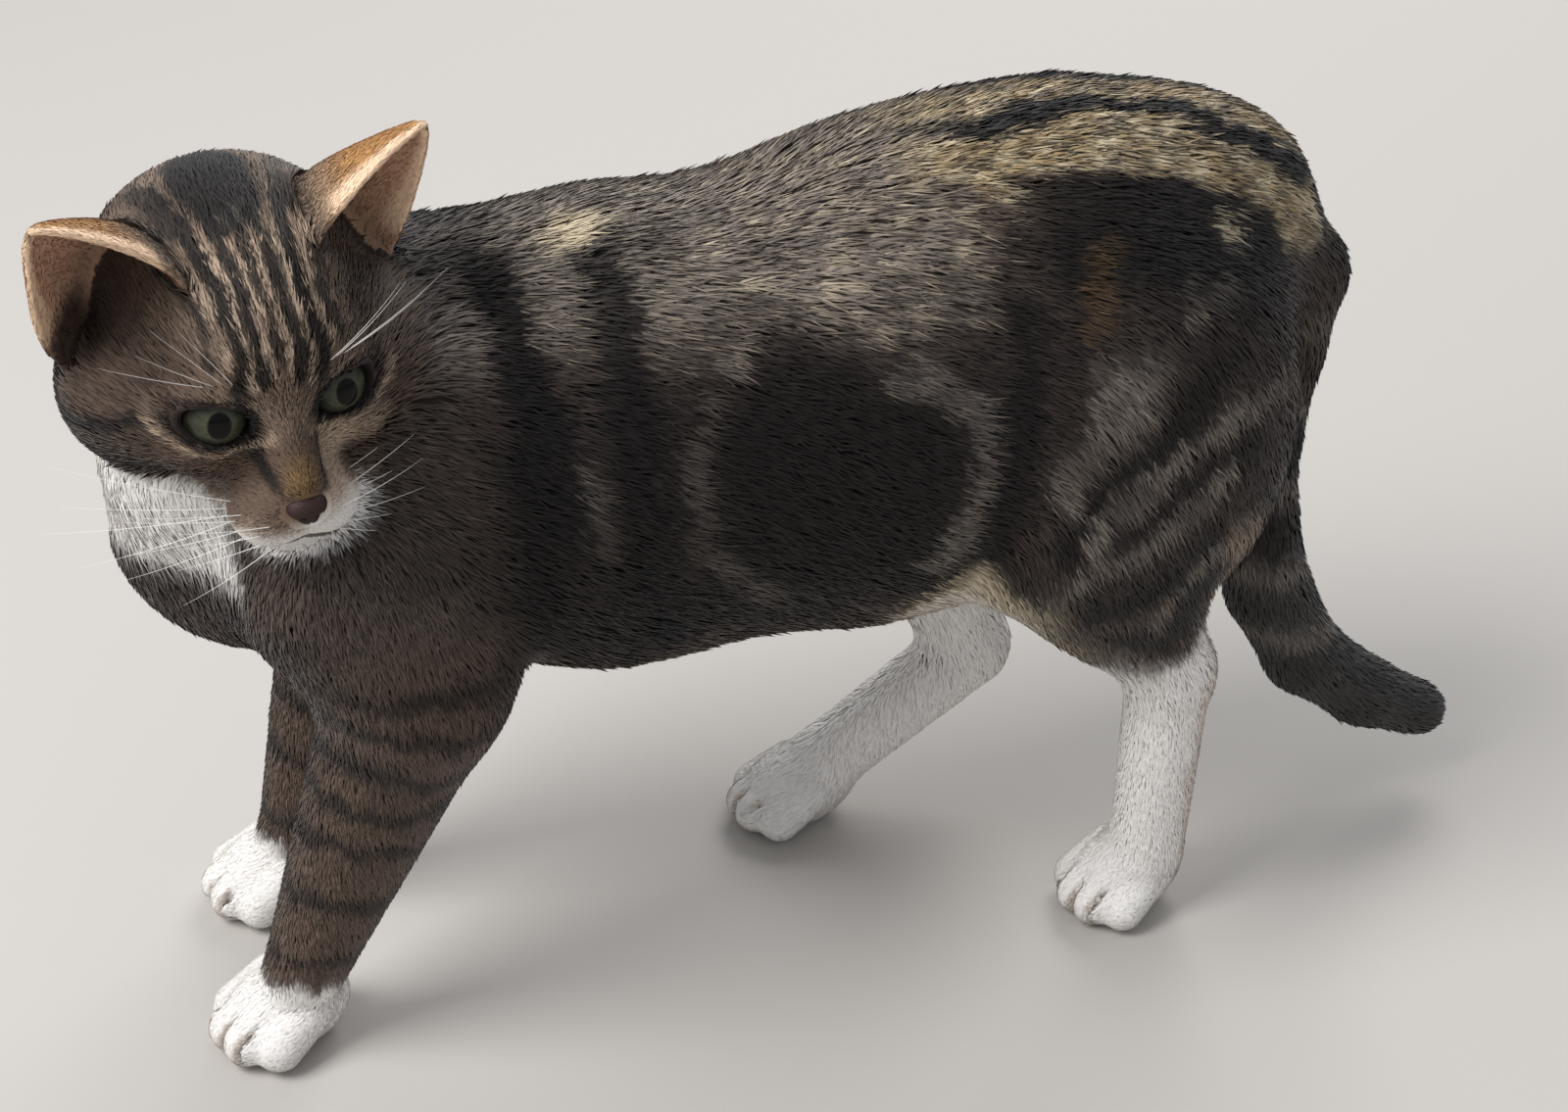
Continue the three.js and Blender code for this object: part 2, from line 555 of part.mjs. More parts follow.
// each column of the sheet starts just clear of the head
function earFoot(e, across, face) {
  let up = 0.6;
  while (up > -0.9 && fieldAt(earPoint(e, across, up, face)) > gap + 0.3) up -= 0.004;
  return up;
}
function earSolid(e, columnsAcross = 9, rowsUp = 6) {
  const points = [];
  const at = {};
  for (const face of [1, -1]) {
    for (let i = 0; i <= columnsAcross; i++) {
      const across = i / columnsAcross;
      const foot = earFoot(e, across, face);
      for (let j = 0; j <= rowsUp; j++) {
        const up = foot + (0.985 - foot) * (j / rowsUp) ** 0.9;
        at[[face, i, j]] = points.push(earPoint(e, across, up, face)) - 1;
      }
    }
  }
  const faces = [];
  const quad = (a, b, c, d) => faces.push([a, b, c], [a, c, d]);
  const outer = (i, j) => at[[1, i, j]];
  const inner = (i, j) => at[[-1, i, j]];
  for (let i = 0; i < columnsAcross; i++) {
    for (let j = 0; j < rowsUp; j++) {
      quad(outer(i, j), outer(i + 1, j), outer(i + 1, j + 1), outer(i, j + 1));
      quad(inner(i, j), inner(i, j + 1), inner(i + 1, j + 1), inner(i + 1, j));
    }
    quad(outer(i, rowsUp), outer(i + 1, rowsUp), inner(i + 1, rowsUp), inner(i, rowsUp));
    quad(outer(i, 0), inner(i, 0), inner(i + 1, 0), outer(i + 1, 0));
  }
  for (let j = 0; j < rowsUp; j++) {
    quad(outer(0, j), outer(0, j + 1), inner(0, j + 1), inner(0, j));
    quad(outer(columnsAcross, j), inner(columnsAcross, j), inner(columnsAcross, j + 1), outer(columnsAcross, j + 1));
  }
  return solid({ points, faces: e.side < 0 ? faces.map(([a, b, c]) => [a, c, b]) : faces });
}

// ---- build ---------------------------------------------------------------------------
const eyeballs = {};
for (const [name, side] of [['left', 1], ['right', -1]]) {
  eyeballs[name] = [side * eye.at[0], eye.at[1], eye.at[2]];
}
let whole = solid(thin(meshField(sampleField()), fleshFacets));
for (const cut of cuts) whole = whole.subtract(cut);

// the sockets are cut last, so the eyeballs and the nose leather sit clear in them
function withSockets(shape) {
  const room = gap / head.size;
  const sockets = Object.values(eyeballs).map((at) => headOval(at, new Array(3).fill(eye.radius + room), 16, 10));
  sockets.push(headOval(nose.at, nose.radii.map((r) => r + room), 12, 7));
  return sockets.reduce((left, socket) => left.subtract(socket), shape);
}

const coat = {
  head: 0x7d6c59, neck: 0x857462, shoulder_left: 0x75654f, chest: 0x75654f, belly: 0x6b5c4b, hips: 0x6f5f4a,
  thigh_left: 0x75685a, thigh_right: 0x8b8072, shank_left: 0xd8d0c4, shank_right: 0xd8d0c4,
  hindpaw_left: 0xe2dcd2, hindpaw_right: 0xe2dcd2, forearm_left: 0x7a6a58, forearm_right: 0x9a8e80,
  forepaw_left: 0xe2dcd2, forepaw_right: 0xe2dcd2, tail_upper: 0x5a4c3e, tail_middle: 0x55483b,
  tail_tip: 0x2e2723,
};
// where two folds of one piece meet in a single point, each is drawn back a little from it
function drawApart({ points, faces }) {
  const key = (p) => p.map((x) => x.toFixed(2)).join();
  const crowd = new Map();
  for (const p of points) crowd.set(key(p), (crowd.get(key(p)) || 0) + 1);
  const clear = points.map((p, n) => {
    if (crowd.get(key(p)) < 2) return p;
    const out = new THREE.Vector3();
    for (const f of faces.filter((face) => face.includes(n))) {
      const [a, b, c] = f.map((corner) => vec(points[corner]));
      out.add(b.sub(a).cross(c.sub(a)));
    }
    return vec(p).addScaledVector(out.normalize(), -0.06).toArray();
  });
  return { points: clear, faces };
}
const group = new THREE.Group();
function show(name, shape, color, roughness) {
  const { points, faces } = drawApart(listed(shape));
  const geometry = new THREE.BufferGeometry();
  const centred = points.map(([x, y, z]) => [x - middle[0], y - middle[1], Math.max(z, 0)]);
  geometry.setAttribute('position', new THREE.Float32BufferAttribute(centred.flat(), 3));
  geometry.setIndex(faces.flat());
  geometry.computeVertexNormals();
  const mesh = new THREE.Mesh(geometry, new THREE.MeshStandardMaterial({ color, roughness, metalness: 0 }));
  mesh.name = name;
  group.add(mesh);
}

const pieces = whole.decompose();
const insideOf = (piece, point) => piece.intersect(
  solidOf(new THREE.BoxGeometry(1, 1, 1).translate(...point))).volume() > 0.5;
for (const [name, point] of Object.entries(seeds)) {
  const found = pieces.find((piece) => insideOf(piece, point));
  if (!found) throw new Error(`no piece of flesh at ${name}`);
  const share = name.includes('paw') ? pawShare : pieceShare;
  const kept = solid(thin(listed(found.simplify(0.05)), found.numTri() * share)).simplify(0.02);
  show(name, name === 'head' ? withSockets(kept) : kept, coat[name], 0.9);
}
for (const side of ['left', 'right']) {
  show(`ear_${side}`, earSolid(ear[side]), 0xa98f74, 0.9);
  show(`eye_${side}`, headOval(eyeballs[side], [eye.radius, eye.radius, eye.radius], 14, 9), 0x7c8062, 0.15);
}
show('nose', headOval(nose.at, nose.radii, 12, 7), 0x4d322c, 0.6);

export default group;
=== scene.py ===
import math
import time

import bpy
import numpy as np
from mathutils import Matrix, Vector


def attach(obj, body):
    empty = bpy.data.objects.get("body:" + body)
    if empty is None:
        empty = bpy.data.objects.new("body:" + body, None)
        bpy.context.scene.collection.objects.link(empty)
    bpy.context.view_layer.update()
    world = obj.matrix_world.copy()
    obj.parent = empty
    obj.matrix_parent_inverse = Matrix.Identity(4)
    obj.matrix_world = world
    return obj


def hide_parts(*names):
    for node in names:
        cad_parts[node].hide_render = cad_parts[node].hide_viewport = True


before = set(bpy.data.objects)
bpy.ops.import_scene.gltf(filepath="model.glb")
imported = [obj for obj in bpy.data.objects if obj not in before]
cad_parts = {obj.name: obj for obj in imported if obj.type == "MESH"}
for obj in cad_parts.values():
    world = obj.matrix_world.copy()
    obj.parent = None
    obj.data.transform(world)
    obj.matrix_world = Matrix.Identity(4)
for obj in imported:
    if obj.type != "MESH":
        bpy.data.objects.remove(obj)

started = time.time()
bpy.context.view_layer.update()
rng = np.random.default_rng(7)


def say(stage):
    print(f"{stage}: {time.time() - started:.0f} s")


def linear(hexColour):
    srgb = np.array([int(hexColour[i:i + 2], 16) for i in (1, 3, 5)]) / 255
    return np.where(srgb <= 0.04045, srgb / 12.92, ((srgb + 0.055) / 1.055) ** 2.4)


def unit(v):
    v = np.asarray(v, float)
    return v / np.maximum(np.linalg.norm(v, axis=-1, keepdims=True), 1e-9)


def blur(a, b, k):  # the lower of a and b, eased over k
    h = np.maximum(k - np.abs(a - b), 0) / k
    return np.minimum(a, b) - h * h * k * 0.25


def step(low, high, x):  # 0 below low, 1 above high, eased between
    t = np.clip((x - low) / (high - low), 0, 1)
    return t * t * (3 - 2 * t)


placing = {
    "middle": (2.36, 10.1),  # x and y of the body that lie over the origin
    "head": {"at": (55.2, -156.3, 237.9), "turn": 101.9, "nod": -19.5, "tilt": -1.8, "size": 0.908},
    "eye": {"at": (17.8, -1.9, -1.8), "radius": 10.2, "out": 14, "up": 14, "slant": 9,
            "opening": (10.8, 14, 6.3)},
}


def metres(points):
    return (np.asarray(points, float) - [*placing["middle"], 0]) / 1000


def turned(degrees, axis):
    c, s = math.cos(math.radians(degrees)), math.sin(math.radians(degrees))
    i, j = [(1, 2), (2, 0), (0, 1)]["xyz".index(axis)]
    matrix = np.eye(3)
    matrix[i, i], matrix[i, j], matrix[j, i], matrix[j, j] = c, -s, s, c
    return matrix


forward = np.diag([1.0, -1.0, 1.0])  # own axes of a form: x its left, y ahead, z up
headAt = np.array(placing["head"]["at"])
headSize = placing["head"]["size"]
headAxes = (turned(placing["head"]["turn"], "z") @ forward
            @ turned(placing["head"]["nod"], "x") @ turned(placing["head"]["tilt"], "y"))
headFrame = (headAt, headAxes, headSize)


def toHead(points):
    return (points - headAt) @ headAxes / headSize


def fromHead(points):
    return headAt + headSize * np.asarray(points, float) @ headAxes.T


def eyeAxes():
    e = placing["eye"]
    a, b, c = (math.radians(e[k]) for k in ("out", "up", "slant"))
    look = np.array([math.sin(a) * math.cos(b), math.cos(a) * math.cos(b), math.sin(b)])
    right = unit(np.cross(look, [0, 0, 1]))
    up = np.cross(right, look)
    outward = right * math.cos(c) + up * math.sin(c)
    return np.stack([outward, look, up * math.cos(c) - right * math.sin(c)], 1)


# coat of each region. depth: how far it stands over the skin; length and width of a tuft; lie: its way
coat = {
    "trunk": {"depth": 3.2, "length": 10.5, "width": 0.8, "lie": (0, 1, -0.45)},
    "back": {"depth": 2.8, "length": 9, "width": 0.75, "lie": (0, 1, -0.15)},
    "breast": {"depth": 2.8, "length": 9.5, "width": 0.85, "lie": (0, 0.45, -1)},
    "neck": {"depth": 3.2, "length": 9.5, "width": 0.78, "lie": (-0.2, 0.8, -0.6)},
    "thigh": {"depth": 2.8, "length": 9.5, "width": 0.78, "lie": (0, 0.45, -1)},
    "upperLeg": {"depth": 2.3, "length": 7.5, "width": 0.72, "lie": (0, 0.2, -1)},
    "leg": {"depth": 1.6, "length": 5.6, "width": 0.68, "lie": (0, 0.1, -1)},
    "paw": {"depth": 0.8, "length": 2.6, "width": 0.5, "lie": (0, -1, -0.4)},
    "tail": {"depth": 2.6, "length": 8.5, "width": 0.85, "lie": (0, 0, -1)},
    "crown": {"depth": 1.9, "length": 5.8, "width": 0.58, "lie": None},
    "cheek": {"depth": 2.1, "length": 6.2, "width": 0.62, "lie": None},
    "face": {"depth": 0.8, "length": 2.8, "width": 0.42, "lie": None},
    "muzzle": {"depth": 0.6, "length": 2.1, "width": 0.38, "lie": None},
}
coatNames = list(coat)

# the body: balls (centre, radii) and limbs (two ends, two radii), eased together
shapes = []


def ball(region, at, radii, ease, **more):
    shapes.append({"region": region, "at": at, "radii": radii, "ease": ease, **more})


def limb(region, start, end, radii, ease, **more):
    shapes.append({"region": region, "at": start, "end": end, "radii": radii, "ease": ease, **more})


def headBall(region, at, radii, ease, **more):
    ball(region, at, radii, ease, frame=headFrame, **more)


def headLimb(region, start, end, radii, ease, **more):
    limb(region, start, end, radii, ease, frame=headFrame, **more)


trunk = [  # start, end, radii, ease, how narrow the section is
    ((0, -108, 183), (0, -60, 182), (54, 70), 12, 0.82),
    ((0, -60, 182), (0, 30, 183), (70, 73), 20, 0.87),
    ((0, 30, 189), (0, 92, 200), (74, 67), 20, 0.84),
    ((0, 92, 200), (0, 112, 200), (66, 48), 15, 0.84),
]
for start, end, radii, ease, wide in trunk:
    limb("trunk", start, end, radii, ease, wide=wide)
limb("neck", (0, -115, 200), (4, -158, 244), (46, 37), 20)
ball("back", (0, -92, 214), (27, 42, 37), 20)  # withers
ball("back", (0, 62, 225), (34, 60, 44), 25)  # loin
ball("back", (0, 119, 232), (29, 47, 33), 20)  # croup
ball("breast", (-1, -152, 175), (38, 51, 48), 22)
ball("breast", (14, -170, 205), (32, 34, 34), 15)  # throat

legs = {
    "foreLeft": {"top": (40, -140, 168), "elbow": (40, -124, 132), "wrist": (34, -163, 30),
                 "paw": (30, -173), "turned": 22},
    "foreRight": {"top": (-38, -140, 168), "elbow": (-38, -124, 132), "wrist": (-38, -154, 30),
                  "paw": (-40, -166), "turned": 12},
    "hindLeft": {"thigh": (40, 101, 172), "thighRadii": (28, 48, 62), "knee": (46, 74, 146),
                 "kneeRadius": 28, "shin": (47, 112, 96), "hock": (47, 112, 88), "ankle": (47, 109, 24),
                 "paw": (44, 100), "turned": 18},
    "hindRight": {"thigh": (-40, 88, 168), "thighRadii": (28, 52, 60), "knee": (-42, 52, 130),
                  "kneeRadius": 30, "shin": (-34, 74, 64), "hock": (-34, 76, 56), "ankle": (-33, 26, 22),
                  "paw": (-33, 10), "turned": 5},
}
toes = ((-0.345, 0.16), (-0.125, 0.30), (0.125, 0.30), (0.345, 0.16))  # side and ahead, of a paw's size


def addPaw(at, degrees, length, width, toe):
    matrix = turned(degrees, "z") @ forward
    more = {"frame": (np.array([*at, 0.0]), matrix, 1), "lie": matrix @ [0, 1, -0.3]}
    ball("paw", (0, -5, 12), (width * 0.43, length * 0.45, 14), 8, **more)
    for side, ahead in toes:
        tip = (side * width, ahead * length, toe * 0.965)
        limb("paw", (tip[0] * 0.8, tip[1] - 12, 15), tip, (toe, toe * 0.95), 2.2, **more)


for leg in legs.values():
    if "elbow" in leg:
        ball("trunk", (34 * np.sign(leg["top"][0]), -112, 184), (23, 38, 50), 18)  # shoulder
        limb("upperLeg", leg["top"], leg["elbow"], (32, 27), 18)
        limb("leg", np.add(leg["elbow"], (0, 0, -4)), leg["wrist"], (26, 13), 10)
        addPaw(leg["paw"], leg["turned"], 44, 36, 8.6)
    else:
        ball("thigh", leg["thigh"], leg["thighRadii"], 20)
        limb("thigh", leg["knee"], leg["shin"], (leg["kneeRadius"], 15.5), 16)
        limb("leg", leg["hock"], leg["ankle"], (14.2, 13), 8)
        addPaw(leg["paw"], leg["turned"], 40, 34, 8)
tailPath = [  # x, y, z, radius, from root to tip
    (0, 138, 230, 22), (4, 164, 204, 17), (7, 159, 180, 15.5), (8, 154, 150, 15), (8, 156, 120, 14.8),
    (9, 164, 90, 14.4), (10, 179, 62, 13.8), (10, 203, 42, 12.4), (10, 226, 30, 10),
]
for i, (a, b) in enumerate(zip(tailPath, tailPath[1:])):
    limb("tail", a[:3], b[:3], (a[3], b[3]), 4 if i else 10, lie=np.subtract(b[:3], a[:3]))

headBall("crown", (0, -32.8, 8), (38, 40, 31.5), 12)  # braincase
headBall("crown", (0, -50, 5), (37, 31, 32), 14)  # nape
headBall("cheek", (27, -25, -10), (23, 27, 22), 10, paired=True)
headBall("cheek", (34, -34, -17), (20, 22, 22), 10, paired=True)  # ruff
headBall("crown", (0, -10, 12.5), (25, 16, 16), 8)  # forehead
headBall("face", placing["eye"]["at"], (12.6, 12, 12.2), 5, paired=True)  # lids
headBall("face", (15.5, -2.5, 8.5), (12, 6, 5), 6, paired=True)  # brow
headBall("face", (20.5, -3, -14), (13, 12, 9), 7, paired=True)  # cheekbone
headLimb("face", (0, 0, 4.5), (0, 19, -16.2), (9.6, 6.5), 6)  # bridge of the nose
headLimb("muzzle", (0, -8, -22), (0, 12, -29), (21, 13), 9)  # snout
headBall("muzzle", (8.5, 14.5, -30.5), (11.5, 13, 10), 5, paired=True)  # whisker pad
headBall("muzzle", (0, 18.2, -26.2), (8.5, 9, 8), 5)  # under the nose
headBall("muzzle", (0, 9.5, -42), (9.5, 10, 7), 4)  # chin
headLimb("muzzle", (0, -18, -30), (0, 5.5, -38), (18, 10), 10)  # jaw
lidAxes = eyeAxes()
lidAt = np.array(placing["eye"]["at"]) + 9 * lidAxes[:, 1]
folds = {  # what is cut into the skin once it stands at its depth, in the head's own axes
    "eyeOpening": {"at": lidAt, "radii": placing["eye"]["opening"], "ease": 1.5, "axes": lidAxes},
    "innerCorner": {"at": (9.2, 8.6, -5.6), "end": (6.8, 10.6, -8.0), "radii": (1.5, 0.5), "ease": 1.2},
    "philtrum": {"at": (0, 29.2, -27), "end": (0, 27.2, -34.6), "radii": (0.8, 0.7), "ease": 2.0},
    "lips": {"at": (0, 26.6, -34.8), "end": (8, 23.4, -37.8), "radii": (1.0, 0.9), "ease": 1.6},
    "mouthCorner": {"at": (8, 23.4, -37.8), "end": (17.5, 5, -38.2), "radii": (0.9, 0.6), "ease": 1.6},
}
for fold in folds.values():
    fold.update(region="face", frame=headFrame, paired=True)
for name, leg in legs.items():  # the clefts between the toes
    long, wide = (44, 36) if "elbow" in leg else (40, 34)
    frameOfPaw = (np.array([*leg["paw"], 0.0]), turned(leg["turned"], "z") @ forward, 1)
    for n, (side, ahead) in enumerate(((-0.235, 0.33), (0.0, 0.40), (0.235, 0.33))):
        folds[f"{name}Cleft{n}"] = {"region": "paw", "frame": frameOfPaw, "ease": 1.6,
                                    "at": (side * wide, ahead * long, 8.5), "radii": (0.6, 6.5, 8.0)}


def mirrored(points):  # the left half stands for both
    return np.concatenate([np.abs(points[..., :1]), points[..., 1:]], -1)


# ears: front, back and outer edge of the root and the tip, in the head's own axes
ears = {
    "left": {"side": 1, "front": (22, -24, 34), "back": (29, -52, 29), "outer": (50, -37, 8),
             "tip": (53, -22.7, 70)},
    "right": {"side": -1, "front": (-20, -21, 34.5), "back": (-32, -50, 29), "outer": (-54, -32, 4),
              "tip": (-60, -24, 63)},
}
earForm = {"halfWall": 0.95, "rise": -0.3, "canal": 5.5}


# sheet(s, t) = root + (tip - root) t + w (chord(s) - root) + w (1 - 0.35 t) cup(s), w = (1 - t^1.5)^0.8
def earSheet(ear, s, t):
    front, back, outer, tip = (np.array(ear[k], float) for k in ("front", "back", "outer", "tip"))
    root = (front + outer) / 2
    s, t = s[..., None], t[..., None]
    chord = front + (outer - front) * s
    cup = (1 - s) ** 2 * front + 2 * s * (1 - s) * (2 * back - root) + s ** 2 * outer - chord
    w = np.where(t > 0, np.maximum(1 - np.maximum(t, 0) ** 1.5, 0) ** 0.8, 1)
    return root + (tip - root) * t + w * (chord - root) + w * (1 - 0.35 * t) * cup


# nearest place on the sheet: the best of a coarse net, then nine tries round it, five times over,
# each time at half the reach
def nearestOnEar(ear, local):
    net = np.meshgrid(np.linspace(0, 1, 13), np.linspace(earForm["rise"], 1, 15), indexing="ij")
    net = np.stack(net, -1).reshape(-1, 2)
    spots = earSheet(ear, net[:, 0], net[:, 1])
    far = np.stack([((local - p) ** 2).sum(-1) for p in spots], -1)
    s, t = net[far.argmin(-1)].T
    best = far.min(-1)
    reach = 1 / 24
    for _ in range(5):
        s0, t0 = s.copy(), t.copy()
        for ds in (-reach, 0, reach):
            for dt in (-reach, 0, reach):
                sn, tn = np.clip(s0 + ds, 0, 1), np.clip(t0 + dt, earForm["rise"], 1)
                d = ((local - earSheet(ear, sn, tn)) ** 2).sum(-1)
                better = d < best
                s, t, best = np.where(better, sn, s), np.where(better, tn, t), np.where(better, d, best)
        reach /= 2
    return s, t, np.sqrt(best)


# how far points lie outside one ball or limb, less than 0 inside it
def distance(shape, points):
    q, size = points, 1.0
    if "frame" in shape:
        at, matrix, size = shape["frame"]
        q = (q - at) @ matrix / size
        if shape.get("paired"):
            q = mirrored(q)
    wide = shape.get("wide", 1.0)
    q = q / [wide, 1, 1] if wide != 1 else q
    at, radii = np.array(shape["at"], float), np.array(shape["radii"], float)
    if "end" in shape:
        line = np.array(shape["end"], float) - at
        t = np.clip((q - at) @ line / (line @ line), 0, 1)
        d = np.linalg.norm(q - at - t[..., None] * line, axis=-1) - (radii[0] + (radii[1] - radii[0]) * t)
    else:
        q = (q - at) @ shape["axes"] if "axes" in shape else q - at
        k = np.linalg.norm(q / radii, axis=-1)
        d = k * (k - 1) / np.maximum(np.linalg.norm(q / radii ** 2, axis=-1), 1e-9)
    return d * size * min(wide, 1) ** 0.5


def reachOf(shape, room):
    ends = np.array([shape["at"], shape.get("end", shape["at"])], float)
    size = 1.0
    if "frame" in shape:
        at, matrix, size = shape["frame"]
        if shape.get("paired"):
            ends = np.concatenate([ends, ends * [-1, 1, 1]])
        ends = at + size * ends @ matrix.T
    pad = max(shape["radii"]) * size + shape["ease"] + room
    return ends.min(0) - pad, ends.max(0) + pad


skinForm = {"coarse": 2.6, "fine": 0.85, "paw": 1.5, "floor": 0.6}


def lines(low, high, fineZones, coarse):
    places = [low]
    while places[-1] < high:
        zone = [f for a, b, f in fineZones if a <= places[-1] < b]
        places.append(places[-1] + min(zone + [coarse]))
    return np.array(places)


slow = 1.0
fine, paw, coarse = (skinForm[k] * slow for k in ("fine", "paw", "coarse"))
grid = [
    lines(-86, 94, [(4, 94, fine), (-64, 4, 1.9 * slow)], coarse),
    lines(-224, 246, [(-216, -108, fine), (-108, -92, paw), (-14, 42, 2 * slow), (78, 126, 2 * slow)],
          coarse),
    lines(-4, 314, [(-4, 30, paw), (176, 306, fine)], coarse),
]


def patch(low, high):
    return tuple(slice(*np.searchsorted(g, (a, b))) for g, a, b in zip(grid, low, high))


def pointsOf(part):
    return np.stack(np.meshgrid(*(g[p] for g, p in zip(grid, part)), indexing="ij"), -1)


def canalOf(ear):
    root = (np.array(ear["front"], float) + ear["outer"]) / 2
    return root * 0.6 + np.array(ear["back"]) * 0.4 - 0.14 * (np.array(ear["tip"]) - root)


def fromCanal(points):  # how far outside the nearer ear canal
    far = [np.linalg.norm(toHead(points) - canalOf(ear), axis=1) for ear in ears.values()]
    return np.min(far, 0) * headSize - earForm["canal"]


def skinField():
    field = np.full([len(g) for g in grid], 40.0, np.float32)
    weight = np.full_like(field, 1e-6)
    deep = weight * 3
    for shape in shapes:
        part = patch(*reachOf(shape, 10))
        d = distance(shape, pointsOf(part))
        field[part] = blur(field[part], d, shape["ease"])
        w = np.exp(-np.clip(d, -14, 40) / 5)
        weight[part] += w
        deep[part] += w * coat[shape["region"]]["depth"]
    field += deep / weight
    for ear in ears.values():
        sheet = fromHead(earSheet(ear, *np.meshgrid(np.linspace(0, 1, 9), np.linspace(-0.2, 1, 9))))
        part = patch(sheet.min((0, 1)) - 7, sheet.max((0, 1)) + 7)
        local = toHead(pointsOf(part))
        flat = local.reshape(-1, 3)
        d = np.full(len(flat), 30.0)
        net = earSheet(ear, *np.meshgrid(np.linspace(0, 1, 7), np.linspace(earForm["rise"], 1, 8)))
        near = np.min([((flat - p) ** 2).sum(1) for p in net.reshape(-1, 3)], 0) < 13 ** 2
        d[near] = nearestOnEar(ear, flat[near])[2]
        d = d.reshape(local.shape[:-1]) * headSize - earForm["halfWall"]
        field[part] = blur(field[part], d, 5)
    for fold in folds.values():
        part = patch(*reachOf(fold, 4))
        field[part] = -blur(-field[part], distance(fold, pointsOf(part)), fold["ease"])
    return np.maximum(field, skinForm["floor"] - grid[2][None, None, :])


# one vertex in each crossed cell, at the mean of where its edges are crossed; a quad per crossed edge
def surfaceNet(field):
    inside = field < 0
    corners = sum(inside[i:inside.shape[0] - 1 + i, j:inside.shape[1] - 1 + j, k:inside.shape[2] - 1 + k]
                  .astype(np.uint8) for i in (0, 1) for j in (0, 1) for k in (0, 1))
    cells = np.argwhere((corners > 0) & (corners < 8))
    number = -np.ones(corners.shape, np.int64)
    number[tuple(cells.T)] = np.arange(len(cells))
    total, hits = np.zeros((len(cells), 3)), np.zeros(len(cells))
    quads = []
    for axis in range(3):
        u, v = (axis + 1) % 3, (axis + 2) % 3
        for i in (0, 1):
            for j in (0, 1):
                a = cells.copy()
                a[:, u] += i
                a[:, v] += j
                b = a.copy()
                b[:, axis] += 1
                fa, fb = field[tuple(a.T)], field[tuple(b.T)]
                crossed = (fa < 0) != (fb < 0)
                t = np.where(crossed, fa / np.where(crossed, fa - fb, 1), 0)[:, None]
                pa = np.stack([grid[n][a[:, n]] for n in range(3)], 1)
                pb = np.stack([grid[n][b[:, n]] for n in range(3)], 1)
                total += np.where(crossed[:, None], pa + t * (pb - pa), 0)
                hits += crossed
        low = [slice(None)] * 3
        high = [slice(None)] * 3
        low[axis], high[axis] = slice(0, -1), slice(1, None)
        edge = np.argwhere(inside[tuple(low)] != inside[tuple(high)])
        edge = edge[(edge[:, u] > 0) & (edge[:, v] > 0)]

        def cellAt(du, dv):
            cell = edge.copy()
            cell[:, u] -= du
            cell[:, v] -= dv
            return number[tuple(cell.T)]

        quad = np.stack([cellAt(1, 1), cellAt(0, 1), cellAt(0, 0), cellAt(1, 0)], 1)
        out = ~inside[tuple(edge.T)]
        quad[out] = quad[out][:, ::-1]
        quads.append(quad)
    return total / hits[:, None], np.concatenate(quads)


# value and slope of the gridded field at any points
def readField(field, points):
    index, share = [], []
    for n in range(3):
        i = np.clip(np.searchsorted(grid[n], points[:, n]) - 1, 0, len(grid[n]) - 2)
        index.append(i)
        share.append(np.clip((points[:, n] - grid[n][i]) / (grid[n][i + 1] - grid[n][i]), 0, 1))
    corner = np.stack([field[index[0] + i, index[1] + j, index[2] + k]
                       for i in (0, 1) for j in (0, 1) for k in (0, 1)]).reshape(2, 2, 2, -1)
    x, y, z = share
    size = [grid[n][index[n] + 1] - grid[n][index[n]] for n in range(3)]
    alongX = corner[0] * (1 - x) + corner[1] * x
    alongXY = alongX[0] * (1 - y) + alongX[1] * y
    value = alongXY[0] * (1 - z) + alongXY[1] * z
    gz = (alongXY[1] - alongXY[0]) / size[2]
    gy = (alongX[1] - alongX[0]) / size[1]
    gy = gy[0] * (1 - z) + gy[1] * z
    gx = (corner[1] - corner[0]) / size[0]
    gx = gx[0] * (1 - y) + gx[1] * y
    gx = gx[0] * (1 - z) + gx[1] * z
    return value, np.stack([gx, gy, gz], 1)


def settle(field, points, height=0.0, rounds=2):  # moves points to where the field has this height
    for _ in range(rounds):
        value, slope = readField(field, points)
        steep = np.maximum((slope ** 2).sum(1), 0.15)
        points = points - slope * (np.clip(value - height, -3, 3) / steep)[:, None]
    return points


field = skinField()
say("field")
skinPoints, skinQuads = surfaceNet(field)
skinPoints = settle(field, skinPoints, rounds=1)
say(f"skin net of {len(skinQuads)} quads")


# what share each region has at any points, which way the coat lies there and its sizes
def coatAt(points):
    share = np.full((len(points), len(coatNames)), 1e-9)
    lie = np.zeros((len(points), 3))
    local = toHead(points)
    fromNose = unit(local - [0, 33, -18]) @ headAxes.T
    for shape in shapes:
        low, high = reachOf(shape, 8)
        near = ((points > low) & (points < high)).all(1)
        if not near.any():
            continue
        d = distance(shape, points[near])
        w = np.exp(-np.clip(d, -14, 40) / 4)
        share[near, coatNames.index(shape["region"])] += w
        way = shape.get("lie", coat[shape["region"]]["lie"])
        lie[near] += w[:, None] * (fromNose[near] if way is None else unit(way))
    share /= share.sum(1, keepdims=True)
    sizes = share @ np.array([[coat[n][k] for k in ("depth", "length", "width")] for n in coatNames])
    return share, unit(lie), sizes


def shareOf(share, *names):
    return share[:, [coatNames.index(n) for n in names]].sum(1)


